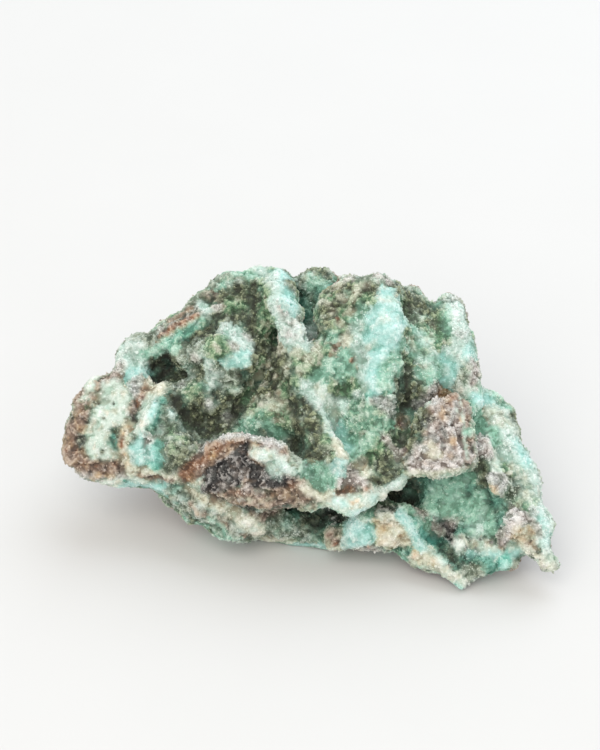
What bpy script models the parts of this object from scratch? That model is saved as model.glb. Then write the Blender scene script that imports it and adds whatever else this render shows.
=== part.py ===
"""Chrysocolla specimen: a hand-sized stone, brown matrix under a crust of chrysocolla and fine quartz.

Every size and place in the tables is in millimetres. +X runs along the stone to its blunt end,
+Y to its back and +Z up, from an origin at the middle of the base. The stone is one piece: blocks,
lumps and ridges are fused, the hollows are cut out, and the base is broken flat.
"""

import math
from typing import NamedTuple

import bmesh
import bpy
from mathutils import Matrix, Vector

MM = 0.001
NODE = "chrysocolla_specimen"

# Grain of the fused body, and how far it is smoothed and roughened
VOXEL = 0.8 * MM
SMOOTH_PASSES = 3
SWELL_SIZE, SWELL_DEPTH = 5.0 * MM, 2.8 * MM
NUB_SIZE, NUB_DEPTH = 2.8 * MM, 2.0 * MM
CHIP_SIZE, CHIP_DEPTH = 2.8 * MM, 1.2 * MM
FACE_SHARE = 0.16

# Where the middle of the base lies in the tables, which were laid out from another point
BASE_MIDDLE = (0.03, -1.67, 0.0)

# The stone is broken off flat where it rests
BASE_CUT = (120.0, 90.0, 20.0)


class Lump(NamedTuple):
    """A rounded lump: its centre, its three half sizes and its turn about Z in degrees."""

    at: tuple
    half: tuple
    turn: float = 0.0


# Angular masses, each the block that spans its corners
BED = (
    (-42, -6, 16), (-39, 2, 21), (-34, 6, 24), (-27, 10, 27), (-18, 15, 31), (-8, 18.5, 34.5),
    (6, 17, 35.5), (18, 14, 33.5), (27, 11, 32.5), (30.5, 3, 28), (27.5, -7, 20.5), (16, -13.5, 17),
    (6, -17.5, 16), (-8, -15.5, 16), (-14, -10, 18), (-21, -11, 16), (-33, -9.5, 13), (-41, -8, 13),
    (-38, -6, 12), (-26, -9, 10), (-12, -12, 10), (6, -12, 11), (20, -9, 12), (28, 4, 12),
    (24, 15, 12), (-6, 21, 13), (-22, 15, 13), (-36, 4, 14),
)
FOOT = (
    (-25, -9, 8), (-16, -13.5, 5), (0, -12, 4), (8, -13, 4), (18, -17, 4), (24, -18, 3),
    (30, -8, 3), (27, 11, 4), (12, 18, 4), (-10, 17, 4), (-22, 6, 5), (-14, -9, -2), (10, -9, -2),
    (21, -10, -2), (20, 8, -2), (-4, 11, -2), (-14, 5, -2), (-26, 9, 16), (28, 13, 18),
)
RIGHT_LOBE = (
    (31, 3, 26), (36, 2, 24), (39, -4.5, 21), (43, -14, 14.5), (44, -18.5, 12), (43, -22.5, 8.5),
    (35.5, -21, 6), (28, -20, 5), (22, -18.5, 4.5), (20, -14, 8), (22, -10, 14), (28, -6, 21),
    (41, -19, 6), (34, -19, 3.5), (40, -6, 7), (38, 5, 10), (30, 11, 10), (24, -16, 3),
)
WEST_END = (
    (-45.8, -5, 19.5), (-45.6, -8, 15.8), (-42.5, -10, 13.4), (-36, -11, 11.8), (-29, -11.3, 12),
    (-28, -10, 18), (-28.6, -1, 25.5), (-31, 6, 29), (-34.5, 7, 29.8), (-39, 4.5, 28), (-43.8, 0, 24.6),
    (-42, 4, 16), (-30, 10, 20),
)
OUTCROP = (
    (-22.6, -12.4, 15.6), (-17.6, -15.8, 15), (-11, -18.8, 15.4), (3, -19.8, 16.6), (-9.5, -17.6, 12.6),
    (-18, -9.2, 22), (-13, -10.8, 26.2), (-6.4, -11.8, 25.4), (-1.4, -17, 19), (-18, -6, 18),
    (-10, -7, 20), (-2, -9, 18), (-3, -14, 12), (-16, -12, 11.5),
)
PLATE = (
    (-28.4, 9, 34), (-17, 12, 38), (-28, 6.2, 31.4), (-16.4, 9.4, 35), (-29, 15, 31),
    (-19, 18, 34), (-27, 12, 27.5), (-17, 15, 30), (-27.4, 7.4, 29.8), (-16.6, 10.4, 33.2),
)
WEST_BACK = (
    (-34, 8, 27), (-28, 12, 30), (-20, 14.5, 33), (-12, 14, 35), (-8, 10, 32), (-12, 8, 30),
    (-20, 8.5, 29), (-28, 7, 26), (-34, 6, 20), (-8, 12, 20), (-22, 18, 24), (-12, 20, 30),
)
BROAD_RIDGE = (
    (5, 9.5, 40), (9, 11.5, 42.6), (15, 10.5, 42.8), (17, 6, 40.6), (16.8, 0, 35), (15, -7, 27),
    (8, -8.5, 24.4), (5, -4, 28.4), (4, 2, 35), (6, 10, 30), (16, 8, 30), (8, -4, 20), (15, -4, 21),
)
RIGHT_BLOCK = (
    (23.4, -7.4, 31.8), (27.4, -5.6, 31.2), (30.2, -7, 29.2), (31, -14.6, 21.2), (24.6, -18, 20.8),
    (17.2, -16, 20.4), (18.2, -12.2, 24.8), (20, -7.6, 28.4), (18, -12.5, 17.8), (25.6, -14, 17.6),
    (30, -11.5, 17.6), (20, -2, 21), (29, -2, 21),
)

# Hollows between and under the growths
HOLLOWS = {
    "bowl": (Lump((-19, -1, 29), (6.5, 5.5, 7.5)), Lump((-13, -5, 25), (7, 3.6, 4.5)),
             Lump((-4, -8, 26), (2.4, 4, 3.4))),
    "cave": (Lump((-25.4, 4, 27), (3, 5.4, 2.4), 15.0),),
    "knob shade": (Lump((-10.4, 3, 26.4), (1.4, 3.4, 1.8)),),
    "undercut": (Lump((-3, -18.5, 8.8), (9, 4.6, 3.4)), Lump((6, -20, 11), (8, 4.6, 2.4)),
                 Lump((1.5, -16, 8), (2.4, 5, 3)), Lump((18, -15.5, 13.5), (4.4, 6, 3.6))),
    "scoop": (Lump((27.8, -19, 14.6), (6.6, 6.2, 5.4), 20.0),),
    "slot": (Lump((24, -21.4, 6.6), (1.5, 2, 1)), Lump((26, -22.4, 5.4), (1.7, 2, 1)),
             Lump((28, -23.6, 4.2), (1.4, 2, 0.9)), Lump((32, -24, 7), (4.4, 2.4, 1.2))),
    "valleys": (Lump((1.6, 10, 39), (2.2, 8, 6), 8.0), Lump((18.6, -4, 28), (1, 2.4, 1.6), 5.0)),
    "back": (Lump((-8, 26, 22), (8, 5, 5), -10.0), Lump((16, 24, 12), (7, 5, 4), 15.0),
             Lump((34, 12, 20), (5, 5, 4))),
}

# Ridges that grew on the masses, each a run of points along its middle: x, y, z and radius
RIDGES = {
    "first finger": ((-6.5, 18.5, 38.8, 2.9), (-5.2, 13.5, 39.2, 3), (-3.8, 8.4, 38.2, 2.9),
                     (-2.6, 4.6, 35.4, 2.4)),
    "second finger": ((1.6, 19, 37.2, 3.4), (4, 15, 34, 3.6)),
    "broad ridge": ((13.6, 9, 39.8, 3.6), (14.8, 4.4, 37, 3.8), (13.6, -1, 31.6, 3.4),
                    (12.6, -5.5, 26.6, 3), (12.6, -9.5, 21.6, 2.6)),
    "broad ridge shoulder": ((5.4, 8, 37.6, 3.2), (5.4, 4, 35.2, 3.2)),
    "third ridge": ((21, 9, 34.4, 2.8), (21.6, 4, 32.2, 3), (21.2, -1, 28.2, 2.9)),
    "fourth ridge": ((26.8, 12.4, 36.4, 2.4), (27.6, 8, 34.2, 2.9), (28.5, 4, 31.5, 2.9),
                     (29.3, 0, 27.7, 2.7)),
    "middle rib": ((1.6, -5, 26.8, 2), (3, -9, 24.4, 1.9), (4.6, -12.6, 21.8, 2),
                   (5.4, -15.4, 19, 2.1)),
    "ledge rim": ((-6, -17.4, 15.2, 1.4), (2, -18.6, 15.6, 1.2), (8, -19.4, 15.8, 1.3),
                  (13, -18, 16.8, 1.3), (16.5, -15.2, 18.4, 1.5)),
    "west stripe": ((-26.5, 0.5, 26.4, 2), (-28.5, -4, 22.8, 2.1), (-30, -8.5, 17.5, 2.2)),
    "low band": ((-24.5, -11, 12.4, 1.8), (-20, -13.6, 11, 1.8), (-15.6, -15.8, 9.4, 1.8),
                 (-12, -17.4, 7.6, 1.7)),
    "right edge": ((35, -0.5, 21.4, 2.6), (37, -7, 18.2, 2.8), (40.8, -14, 13.6, 2.5),
                   (41.8, -19.5, 10, 2.7), (43.6, -24.4, 6, 1.4)),
    "front spur": ((20, -19.6, 5, 2.2), (24.4, -22, 3.8, 2), (28.4, -25, 1.5, 1.2)),
    "front lip": ((28.6, -23, 3, 1.7), (33.4, -22.6, 4.6, 2.3), (36.4, -21.4, 5.4, 2.2)),
}

# Rounded lumps that grew on the masses
LUMPS = {
    "west crown": (Lump((-18.4, 15.2, 34.8), (3.5, 3.5, 3.4)), Lump((-14.5, 18.5, 36.6), (3.6, 3.6, 3.6)),
                   Lump((-10, 18.4, 37.6), (3.1, 3.3, 3.4)), Lump((-21.8, 13.6, 32.4), (3, 3, 3)),
                   Lump((-13.3, 12.5, 35.2), (3, 3, 3)), Lump((-9.6, 11, 34), (3, 3.4, 3)),
                   Lump((-9.4, 7.6, 31.4), (2.6, 2.8, 2.8)), Lump((-14.4, 9.4, 32.8), (4.2, 3, 2.7)),
                   Lump((-19, 9.8, 32), (3, 3, 2.5))),
    "cloud": (Lump((-31.7, 9.8, 30), (2.7, 2.6, 2.7)), Lump((-28.8, 8.6, 29.4), (2.2, 2.2, 2.2)),
              Lump((-34, 8, 28.6), (2, 2, 2))),
    "knob": (Lump((-15.4, 4, 33.2), (3.2, 3.2, 3)), Lump((-11.8, 3.6, 31.8), (2.7, 2.8, 2.9)),
             Lump((-18.2, 4.4, 31.6), (2.2, 2.4, 2.4)), Lump((-14.4, 2, 28), (3.3, 3, 3.4)),
             Lump((-21, 0.6, 25.6), (3, 2.8, 2.9)), Lump((-16.6, -1, 24.6), (3, 2.8, 2.8)),
             Lump((-22.8, 6, 30), (2.3, 2.3, 2.4)), Lump((-18.6, 2.4, 28.8), (2.4, 2.3, 2.4))),
    "west bowl": (Lump((-25, -4, 22.6), (1.7, 1.9, 2.3)), Lump((-23.2, -8.6, 19.4), (3, 2.7, 2.9)),
                  Lump((-19.8, -7.2, 18.8), (2.4, 2.3, 2.4))),
    "middle slope": (Lump((-4, 4.4, 29.8), (3.3, 3.3, 3.3)), Lump((-1.3, 1, 28.4), (3.2, 3.2, 3)),
                     Lump((-6.2, 0, 25.4), (3, 3, 3)), Lump((-8.6, -3.4, 22.2), (3, 3, 3)),
                     Lump((-3.2, -3.8, 23.6), (3, 3, 3)), Lump((-12, -4, 19.6), (2.8, 2.8, 2.6))),
    "crown": (Lump((4.5, 10.6, 38.4), (3.2, 3.2, 3.2)), Lump((8.2, 11.6, 41), (3.1, 3.2, 3)),
              Lump((12.5, 12, 41.2), (3, 3.2, 3)), Lump((15.4, 12, 40), (2.2, 2.6, 2.8))),
    "back of crown": (Lump((19.2, 13.4, 36), (3.2, 3.2, 3.2)), Lump((22.4, 12.6, 34), (2.8, 2.8, 2.8)),
                      Lump((8.6, 16.4, 35.6), (4.2, 3.4, 3.5)), Lump((14, 16.4, 35.4), (3.6, 3.3, 3.3))),
    "valley floors": (Lump((17.8, 6.4, 31.6), (2.2, 4, 3.4)), Lump((17.8, 0.4, 26.4), (2, 3.6, 2.9)),
                      Lump((24.6, 4, 28.4), (2, 4, 3)), Lump((9.4, -9.4, 20), (4, 4, 3))),
    "block foot": (Lump((18, -4, 22), (2.6, 2.8, 3)), Lump((16.6, -8.4, 20.4), (2.6, 2.6, 2.8)),
                   Lump((30.4, -2, 25.4), (2.2, 2.6, 2.6))),
    "finger foot": (Lump((-1.8, 1.4, 31.6), (2.6, 2.6, 2.8)), Lump((1.8, 1.4, 32), (2.2, 2.4, 2.6)),
                    Lump((-0.6, -2.6, 28), (2.4, 2.2, 2.4)), Lump((3.6, -2.6, 28.6), (2, 2.2, 2.2)),
                    Lump((5.6, 0.6, 33.4), (2.2, 2.4, 2.4))),
    "rib foot": (Lump((0.2, -7, 24), (2.2, 2.2, 2.2)), Lump((1.6, -10.8, 21.8), (2.3, 2.3, 2.3)),
                 Lump((0.6, -13.6, 18.8), (2.6, 2.4, 2.4)), Lump((4.4, -15.8, 18), (2.4, 2.2, 2.2))),
    "ledge top": (Lump((8.8, -15.4, 18.2), (2.4, 2.2, 1.9)), Lump((12.6, -14.4, 18.8), (2.4, 2.2, 2)),
                  Lump((15.4, -11.6, 19.4), (2.2, 2.2, 2.2)), Lump((9.4, -11.6, 20.4), (2.2, 2.2, 2))),
    "outcrop cap": (Lump((-6.8, -13.8, 23.4), (2.6, 2, 2.2)), Lump((-3.4, -15, 21.4), (2.6, 2.2, 2.2))),
    "low front": (Lump((5.4, -17.4, 5.4), (2.2, 2.4, 2.4)), Lump((9.8, -17.2, 8), (2.8, 2.8, 3.8)),
                  Lump((14.2, -17.8, 7), (2.8, 2.8, 3)), Lump((14.8, -16.6, 11), (2.6, 2.6, 2.8)),
                  Lump((18.6, -17, 9), (2.6, 2.8, 2.8))),
    "low west": (Lump((-24.4, -9.4, 8.6), (2.6, 2.4, 2.2)), Lump((-20, -12, 7.6), (3, 2.6, 2.4)),
                 Lump((-15.4, -14.4, 6.4), (2.8, 2.4, 2.2)), Lump((-11.4, -16, 5.6), (2, 2.2, 2)),
                 Lump((-10, -15.4, 10), (3, 2.6, 3)), Lump((-4, -14.6, 6.4), (2.4, 2.2, 2.2))),
    "right lobe": (Lump((31.6, -9, 20), (2.3, 2.6, 2.9)), Lump((34.4, -13.6, 16.6), (2.4, 2.6, 2.8)),
                   Lump((37.6, -19.8, 11.2), (2.7, 2.6, 3)), Lump((36, -6, 19), (3, 3, 3)),
                   Lump((27.4, -20, 7.4), (2.2, 2, 1.8)), Lump((41.6, -18, 9), (2.4, 2.6, 2.8))),
}


def clear_scene():
    """Removes whatever the scene holds."""
    for found in list(bpy.data.objects):
        bpy.data.objects.remove(found)


def add_lump(form, lump):
    """Adds one rounded lump to the form."""
    place = (
        Matrix.Translation(Vector(lump.at) * MM)
        @ Matrix.Rotation(math.radians(lump.turn), 4, "Z")
        @ Matrix.Diagonal((*(half * MM for half in lump.half), 1.0))
    )
    bmesh.ops.create_icosphere(form, subdivisions=3, radius=1.0, matrix=place)


def add_ridge(form, points):
    """Adds a ridge: a ball at each point, and a tapered bar from each point to the next."""
    for x, y, z, radius in points:
        add_lump(form, Lump((x, y, z), (radius, radius, radius)))
    for (*start, wide), (*end, thin) in zip(points, points[1:]):
        start, end = Vector(start) * MM, Vector(end) * MM
        along = end - start
        place = Matrix.Translation((start + end) / 2) @ along.to_track_quat("Z", "Y").to_matrix().to_4x4()
        bmesh.ops.create_cone(
            form, cap_ends=True, segments=20, radius1=wide * MM, radius2=thin * MM,
            depth=along.length, matrix=place,
        )


def add_block(form, corners):
    """Adds the angular block that spans the corners."""
    made = [form.verts.new(Vector(corner) * MM) for corner in corners]
    hull = bmesh.ops.convex_hull(form, input=made)
    bmesh.ops.delete(form, geom=hull["geom_interior"], context="VERTS")


def new_object(name, form):
    """Makes an object from the form and ends the form."""
    bmesh.ops.recalc_face_normals(form, faces=form.faces)
    mesh = bpy.data.meshes.new(name)
    form.to_mesh(mesh)
    form.free()
    made = bpy.data.objects.new(name, mesh)
    bpy.context.scene.collection.objects.link(made)
    return made


def as_helper(obj):
    """Keeps a shape that only cuts or adds out of the model."""
    obj.hide_render = True
    obj.display_type = "WIRE"
    return obj


def masses():
    """The angular masses, still overlapping."""
    form = bmesh.new()
    for corners in (BED, FOOT, RIGHT_LOBE, WEST_END, WEST_BACK, BROAD_RIDGE):
        add_block(form, corners)
    return new_object(NODE, form)


def outcrops():
    """A helper made of the blocks that stay angular, to add after the wear."""
    form = bmesh.new()
    for corners in (OUTCROP, PLATE, RIGHT_BLOCK):
        add_block(form, corners)
    return as_helper(new_object("outcrops", form))


def lump_groups(name, groups, ridges=()):
    """A helper made of fused lumps and ridges, to cut with or to add."""
    form = bmesh.new()
    for points in ridges:
        add_ridge(form, points)
    for group in groups:
        for lump in group:
            add_lump(form, lump)
    helper = as_helper(new_object(name, form))
    fuse(helper, "fuse")
    return helper


def base_cutter():
    """A box whose top is the plane that the stone rests on."""
    form = bmesh.new()
    size = Vector(BASE_CUT) * MM
    place = Matrix.Translation((0, 0, -size.z / 2)) @ Matrix.Diagonal((*size, 1.0))
    bmesh.ops.create_cube(form, size=1.0, matrix=place)
    return as_helper(new_object("base_cutter", form))


def fuse(obj, name):
    """Fuses overlapping shapes into one skin of even grain."""
    remesh = obj.modifiers.new(name, "REMESH")
    remesh.mode = "VOXEL"
    remesh.voxel_size = VOXEL


def combine(obj, name, operation, helper):
    """Cuts the helper's shape out of the object, or adds it."""
    boolean = obj.modifiers.new(name, "BOOLEAN")
    boolean.operation = operation
    boolean.object = helper


def roughen(obj, name, kind, size, depth):
    """Moves the skin in and out by a procedural texture."""
    texture = bpy.data.textures.new(name, kind)
    texture.noise_scale = size
    displace = obj.modifiers.new(name, "DISPLACE")
    displace.texture = texture
    displace.texture_coords = "LOCAL"
    displace.strength = depth
    displace.mid_level = 0.5
    return texture


def weathered_skin(obj, hollows, growths, angular, base):
    """Turns the overlapping masses into one rough stone of a few thousand faces."""
    fuse(obj, "fuse masses")
    combine(obj, "cut hollows", "DIFFERENCE", hollows)
    combine(obj, "add growths", "UNION", growths)
    fuse(obj, "fuse growths")
    smooth = obj.modifiers.new("wear", "SMOOTH")
    smooth.factor = 0.5
    smooth.iterations = SMOOTH_PASSES
    roughen(obj, "swells", "CLOUDS", SWELL_SIZE, SWELL_DEPTH)
    nubs = roughen(obj, "nubs", "VORONOI", NUB_SIZE, -NUB_DEPTH)
    nubs.distance_metric = "DISTANCE_SQUARED"
    fuse(obj, "fuse rough skin")
    combine(obj, "add outcrops", "UNION", angular)
    fuse(obj, "fuse outcrops")
    roughen(obj, "chips", "CLOUDS", CHIP_SIZE, CHIP_DEPTH)
    fuse(obj, "fuse chips")
    decimate = obj.modifiers.new("fewer faces", "DECIMATE")
    decimate.ratio = FACE_SHARE
    combine(obj, "broken base", "DIFFERENCE", base)


def stone_material():
    """Matt blue-green crust, the colour that covers most of the stone."""
    material = bpy.data.materials.new("chrysocolla crust")
    material.use_nodes = True
    shader = material.node_tree.nodes["Principled BSDF"]
    shader.inputs["Base Color"].default_value = (0.36, 0.62, 0.52, 1.0)
    shader.inputs["Roughness"].default_value = 0.75
    shader.inputs["Metallic"].default_value = 0.0
    return material


def stand_on_origin(*parts):
    """Sets the shapes so that the middle of the base is the origin."""
    origin = bpy.data.objects.new("middle of base", None)
    bpy.context.scene.collection.objects.link(origin)
    origin.location = -Vector(BASE_MIDDLE) * MM
    for part in parts:
        part.parent = origin


def main():
    """Builds the specimen."""
    clear_scene()
    stone = masses()
    hollows = lump_groups("hollows", HOLLOWS.values())
    growths = lump_groups("growths", LUMPS.values(), RIDGES.values())
    angular = outcrops()
    base = base_cutter()
    weathered_skin(stone, hollows, growths, angular, base)
    stand_on_origin(stone, hollows, growths, angular, base)
    stone.data.materials.append(stone_material())


if __name__ == "__main__":
    main()
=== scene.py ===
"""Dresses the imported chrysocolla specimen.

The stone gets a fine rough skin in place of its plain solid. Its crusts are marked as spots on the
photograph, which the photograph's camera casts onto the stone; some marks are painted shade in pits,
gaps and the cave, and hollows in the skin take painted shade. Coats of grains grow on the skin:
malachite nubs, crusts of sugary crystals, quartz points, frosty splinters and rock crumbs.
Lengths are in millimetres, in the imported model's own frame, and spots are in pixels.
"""

import logging
import math
from collections.abc import Callable
from dataclasses import dataclass
from enum import Enum

import bmesh
import bpy
import numpy as np
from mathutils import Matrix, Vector, noise
from mathutils.bvhtree import BVHTree
from mathutils.kdtree import KDTree


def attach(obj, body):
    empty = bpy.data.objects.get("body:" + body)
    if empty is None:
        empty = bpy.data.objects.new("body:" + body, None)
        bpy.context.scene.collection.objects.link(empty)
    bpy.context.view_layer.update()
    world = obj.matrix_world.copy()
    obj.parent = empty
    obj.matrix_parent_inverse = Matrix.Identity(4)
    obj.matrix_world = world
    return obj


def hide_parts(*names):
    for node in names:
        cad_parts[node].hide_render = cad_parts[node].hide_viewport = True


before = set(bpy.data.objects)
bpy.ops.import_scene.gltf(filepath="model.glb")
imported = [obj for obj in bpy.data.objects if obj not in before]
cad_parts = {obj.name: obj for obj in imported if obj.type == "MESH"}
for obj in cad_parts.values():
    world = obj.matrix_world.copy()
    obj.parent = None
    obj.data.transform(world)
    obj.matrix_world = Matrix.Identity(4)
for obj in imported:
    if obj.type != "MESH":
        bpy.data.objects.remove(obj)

MM = 0.001
NODE = "chrysocolla_specimen"
BODY = "root"
TINY = 1e-9

# How much fainter and how much finer each octave of noise is than the one before
SWELL_FADE = 0.9
SWELL_STEP = 2.0

# Large uneven factors, so that neighbouring chips tilt without any pattern
CHIP_TILTS = (91.7, 57.3, 73.1)
CHIP_TWIST = 43.9

log = logging.getLogger("specimen")

Colour = tuple[int, int, int]
Spot = tuple[float, float, float]
Span = tuple[float, float]
Tone = tuple[float, float, float, float]
Array = np.ndarray


def linear(colour: Array | Colour) -> Array:
    """Turns display colours into the linear light that shaders use, by the sRGB curve.

    Args:
        colour: Red, green and blue from 0 to 255, one colour or one a row.

    Returns:
        The same colours in linear light, from 0 to 1.
    """
    share = np.asarray(colour, dtype=float) / 255.0
    return np.where(share <= 0.04045, share / 12.92, ((share + 0.055) / 1.055) ** 2.4)


def ramp(values: Array, low: float, high: float) -> Array:
    """Rises smoothly from 0 at low to 1 at high.

    Args:
        values: Numbers to turn into shares.
        low: Where the share is still 0.
        high: Where the share has reached 1.

    Returns:
        A share from 0 to 1 for each value.
    """
    share = np.clip((values - low) / (high - low), 0.0, 1.0)
    return share * share * (3.0 - 2.0 * share)


def between(span: Span, share: Array) -> Array:
    """Goes from the first number of a span to the second as the share goes from 0 to 1."""
    return span[0] + (span[1] - span[0]) * share


def cloudy(points: Array, size: float, shift: float, octaves: int = 3) -> Array:
    """Soft fractal noise at each point.

    Args:
        points: Places in millimetres, one a row.
        size: Width of the largest swell in millimetres.
        shift: Moves the pattern, so that two uses differ.
        octaves: How many sizes of swell there are, each finer than the one before.

    Returns:
        A height near -1 to 1 for each point.
    """
    moved = (points / size + shift).tolist()
    return np.array([noise.fractal(place, SWELL_FADE, SWELL_STEP, octaves) for place in moved])


def cobbled(points: Array, size: float, top: float, fall: float, shift: float) -> Array:
    """Rounded lumps on scattered centres.

    Args:
        points: Places in millimetres, one a row.
        size: Usual distance between centres in millimetres.
        top: The height at a centre.
        fall: How far the height drops at a distance of one size.
        shift: Moves the pattern, so that two uses differ.

    Returns:
        The height of the lumps at each point.
    """
    moved = (points / size + shift).tolist()
    return top - fall * np.array([noise.voronoi(place)[0][0] for place in moved]) ** 2


def chipped(points: Array, size: float, shift: float) -> Array:
    """Flat chips that are each tilted their own way.

    Args:
        points: Places in millimetres, one a row.
        size: Usual width of a chip in millimetres.
        shift: Moves the pattern, so that two uses differ.

    Returns:
        A height of about -0.5 to 0.5 for each point.
    """
    moved = points / size + shift
    middles = np.array([noise.voronoi(place)[1][0] for place in moved.tolist()])
    tilt = np.sin(middles * CHIP_TILTS + middles[:, (1, 2, 0)] * CHIP_TWIST)
    return np.sum((moved - middles) * tilt, axis=1)


@dataclass(frozen=True)
class Finish:
    """How one crust or rock face looks and is worked.

    Ground is the display colour of even places. Fleck is the colour of pale flecks, laid more on
    tops, partly the crust's own flecks and partly painted highlight. Shade is painted shade, laid in
    hollows. Lumps, grit, facets and faces are heights in millimetres. Nubs, sugar, points and crumbs
    say how thickly each kind of grain grows, and freckles how much of two other crusts is scattered in.
    """

    ground: Colour
    fleck: Colour
    shade: Colour
    roughness: float = 0.75
    lumps: float = 0.22
    grit: float = 0.16
    facets: float = 0.12
    faces: float = 0.2
    nubs: float = 0.0
    sugar: float = 0.4
    points: float = 0.0
    crumbs: float = 0.0
    freckles: float = 0.5


class Crust(Enum):
    """The crusts and rock faces that the stone shows."""

    TURQUOISE = Finish((136, 184, 164), (202, 228, 214), (78, 124, 102), nubs=0.3, sugar=0.8)
    CYAN = Finish((165, 210, 205), (220, 240, 238), (118, 176, 164), lumps=0.16, grit=0.1,
                  facets=0.06, nubs=0.1, sugar=0.35, freckles=0.3)
    FROST = Finish((193, 214, 207), (234, 242, 240), (136, 168, 154), nubs=0.2, sugar=0.9,
                   points=0.05, freckles=0.35)
    MINT = Finish((199, 213, 203), (236, 240, 235), (152, 172, 154), lumps=0.1, grit=0.08,
                  facets=0.1, sugar=0.25)
    MOSS = Finish((84, 121, 88), (174, 195, 160), (40, 60, 40), lumps=0.42, grit=0.3, nubs=1.0,
                  sugar=0.7, freckles=0.7)
    OLIVE = Finish((68, 75, 53), (156, 162, 130), (30, 33, 23), lumps=0.42, grit=0.3, nubs=1.0,
                   sugar=0.6, points=0.05, freckles=0.9)
    FOG = Finish((106, 119, 102), (188, 198, 185), (54, 64, 48), 0.6, lumps=0.35, grit=0.22,
                 nubs=0.5, sugar=0.8, points=0.25)
    MATRIX = Finish((124, 104, 90), (190, 173, 158), (66, 52, 44), lumps=0.1, grit=0.12,
                    faces=0.55, facets=0.26, sugar=0.15, crumbs=0.6)
    RUST = Finish((134, 92, 64), (200, 176, 154), (70, 45, 34), lumps=0.1, grit=0.12,
                  faces=0.55, facets=0.24, sugar=0.2, crumbs=0.7)
    TAN = Finish((196, 166, 128), (229, 214, 190), (130, 101, 72), lumps=0.12, facets=0.2,
                 sugar=0.3, crumbs=0.4)
    SLATE = Finish((36, 34, 34), (166, 162, 159), (15, 14, 15), 0.42, lumps=0.08, grit=0.12,
                   faces=0.55, facets=0.42, sugar=0.15, points=0.35, crumbs=0.9, freckles=0.4)
    LILAC = Finish((180, 172, 167), (238, 234, 232), (100, 88, 82), 0.6, lumps=0.1, grit=0.15,
                   faces=0.55, facets=0.24, sugar=0.35, points=0.45, crumbs=0.4)
    DRUSE = Finish((154, 157, 153), (237, 238, 237), (88, 92, 88), 0.5, lumps=0.28, grit=0.22,
                   facets=0.2, nubs=0.1, sugar=0.4, points=1.0)
    GLASS = Finish((134, 182, 160), (192, 222, 206), (78, 118, 96), 0.4, lumps=0.28, grit=0.1,
                   sugar=0.3)
    CREAM = Finish((208, 207, 187), (240, 239, 228), (142, 131, 104), nubs=0.4, sugar=0.7)
    SEA = Finish((104, 184, 168), (186, 230, 220), (50, 116, 104), 0.6, nubs=0.1)
    TEAL = Finish((52, 112, 96), (124, 182, 166), (18, 54, 46), 0.6, lumps=0.25, nubs=0.2)
    # A near-black olive that stands for shade: painted shade in pits, gaps, valleys and the cave
    PAINTED_SHADE = Finish((46, 50, 37), (88, 94, 71), (16, 18, 13), 0.85, lumps=0.3, grit=0.2, nubs=0.4,
                 sugar=0.1)


CRUSTS = list(Crust)

# The two other crusts that are scattered in each
FRECKLES = {
    Crust.TURQUOISE: (Crust.FROST, Crust.MOSS),
    Crust.CYAN: (Crust.MINT, Crust.SEA),
    Crust.FROST: (Crust.TURQUOISE, Crust.FOG),
    Crust.MINT: (Crust.TAN, Crust.TURQUOISE),
    Crust.MOSS: (Crust.CREAM, Crust.OLIVE),
    # The olive's near-black specks are painted shade
    Crust.OLIVE: (Crust.FOG, Crust.PAINTED_SHADE),
    Crust.FOG: (Crust.FROST, Crust.OLIVE),
    Crust.MATRIX: (Crust.TAN, Crust.SLATE),
    Crust.RUST: (Crust.SLATE, Crust.LILAC),
    Crust.TAN: (Crust.RUST, Crust.CREAM),
    Crust.SLATE: (Crust.DRUSE, Crust.MATRIX),
    Crust.LILAC: (Crust.MATRIX, Crust.DRUSE),
    Crust.DRUSE: (Crust.LILAC, Crust.FOG),
    Crust.GLASS: (Crust.FROST, Crust.TEAL),
    Crust.CREAM: (Crust.MATRIX, Crust.MINT),
    Crust.SEA: (Crust.CYAN, Crust.TEAL),
    # The teal's near-black specks are painted shade
    Crust.TEAL: (Crust.SEA, Crust.PAINTED_SHADE),
    Crust.PAINTED_SHADE: (Crust.OLIVE, Crust.TEAL),
}


@dataclass(frozen=True)
class Layer:
    """A crust on unmarked ground, which lies where a weighted sum rises from low to high.

    The sum's terms are how far the ground is turned away from the photograph's camera, and very
    broad, broad and fine noise.
    """

    crust: Crust
    strength: float
    low: float
    high: float
    hidden: float = 0.0
    broad: float = 0.0
    drift: float = 0.0
    speck: float = 0.0


# A layer lies over those before it, and the first over the bare crust
BARE = Crust.TURQUOISE
GROUND = (
    Layer(Crust.FOG, 0.8, -0.1, 0.4, drift=1.0, speck=0.4),
    Layer(Crust.MOSS, 0.8, 0.0, 0.4, broad=1.0, drift=-0.5, speck=0.4),
    Layer(Crust.OLIVE, 0.8, 0.1, 0.5, broad=-1.0, drift=0.7, speck=0.3),
    Layer(Crust.MATRIX, 1.0, 0.1, 0.35, hidden=1.0, broad=0.5, drift=0.3),
    Layer(Crust.LILAC, 0.6, 0.4, 0.8, hidden=1.0, broad=-0.8, drift=0.8),
    Layer(Crust.SLATE, 0.7, 1.0, 1.4, hidden=1.0, broad=1.1, speck=0.9),
    Layer(Crust.RUST, 0.7, 1.0, 1.4, hidden=1.0, drift=-1.2, speck=0.5),
    Layer(Crust.CREAM, 0.7, 1.25, 1.55, hidden=1.0, drift=1.2, speck=0.6),
    Layer(Crust.GLASS, 0.8, 1.1, 1.4, hidden=1.0, broad=-1.4, speck=0.6),
)


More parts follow.
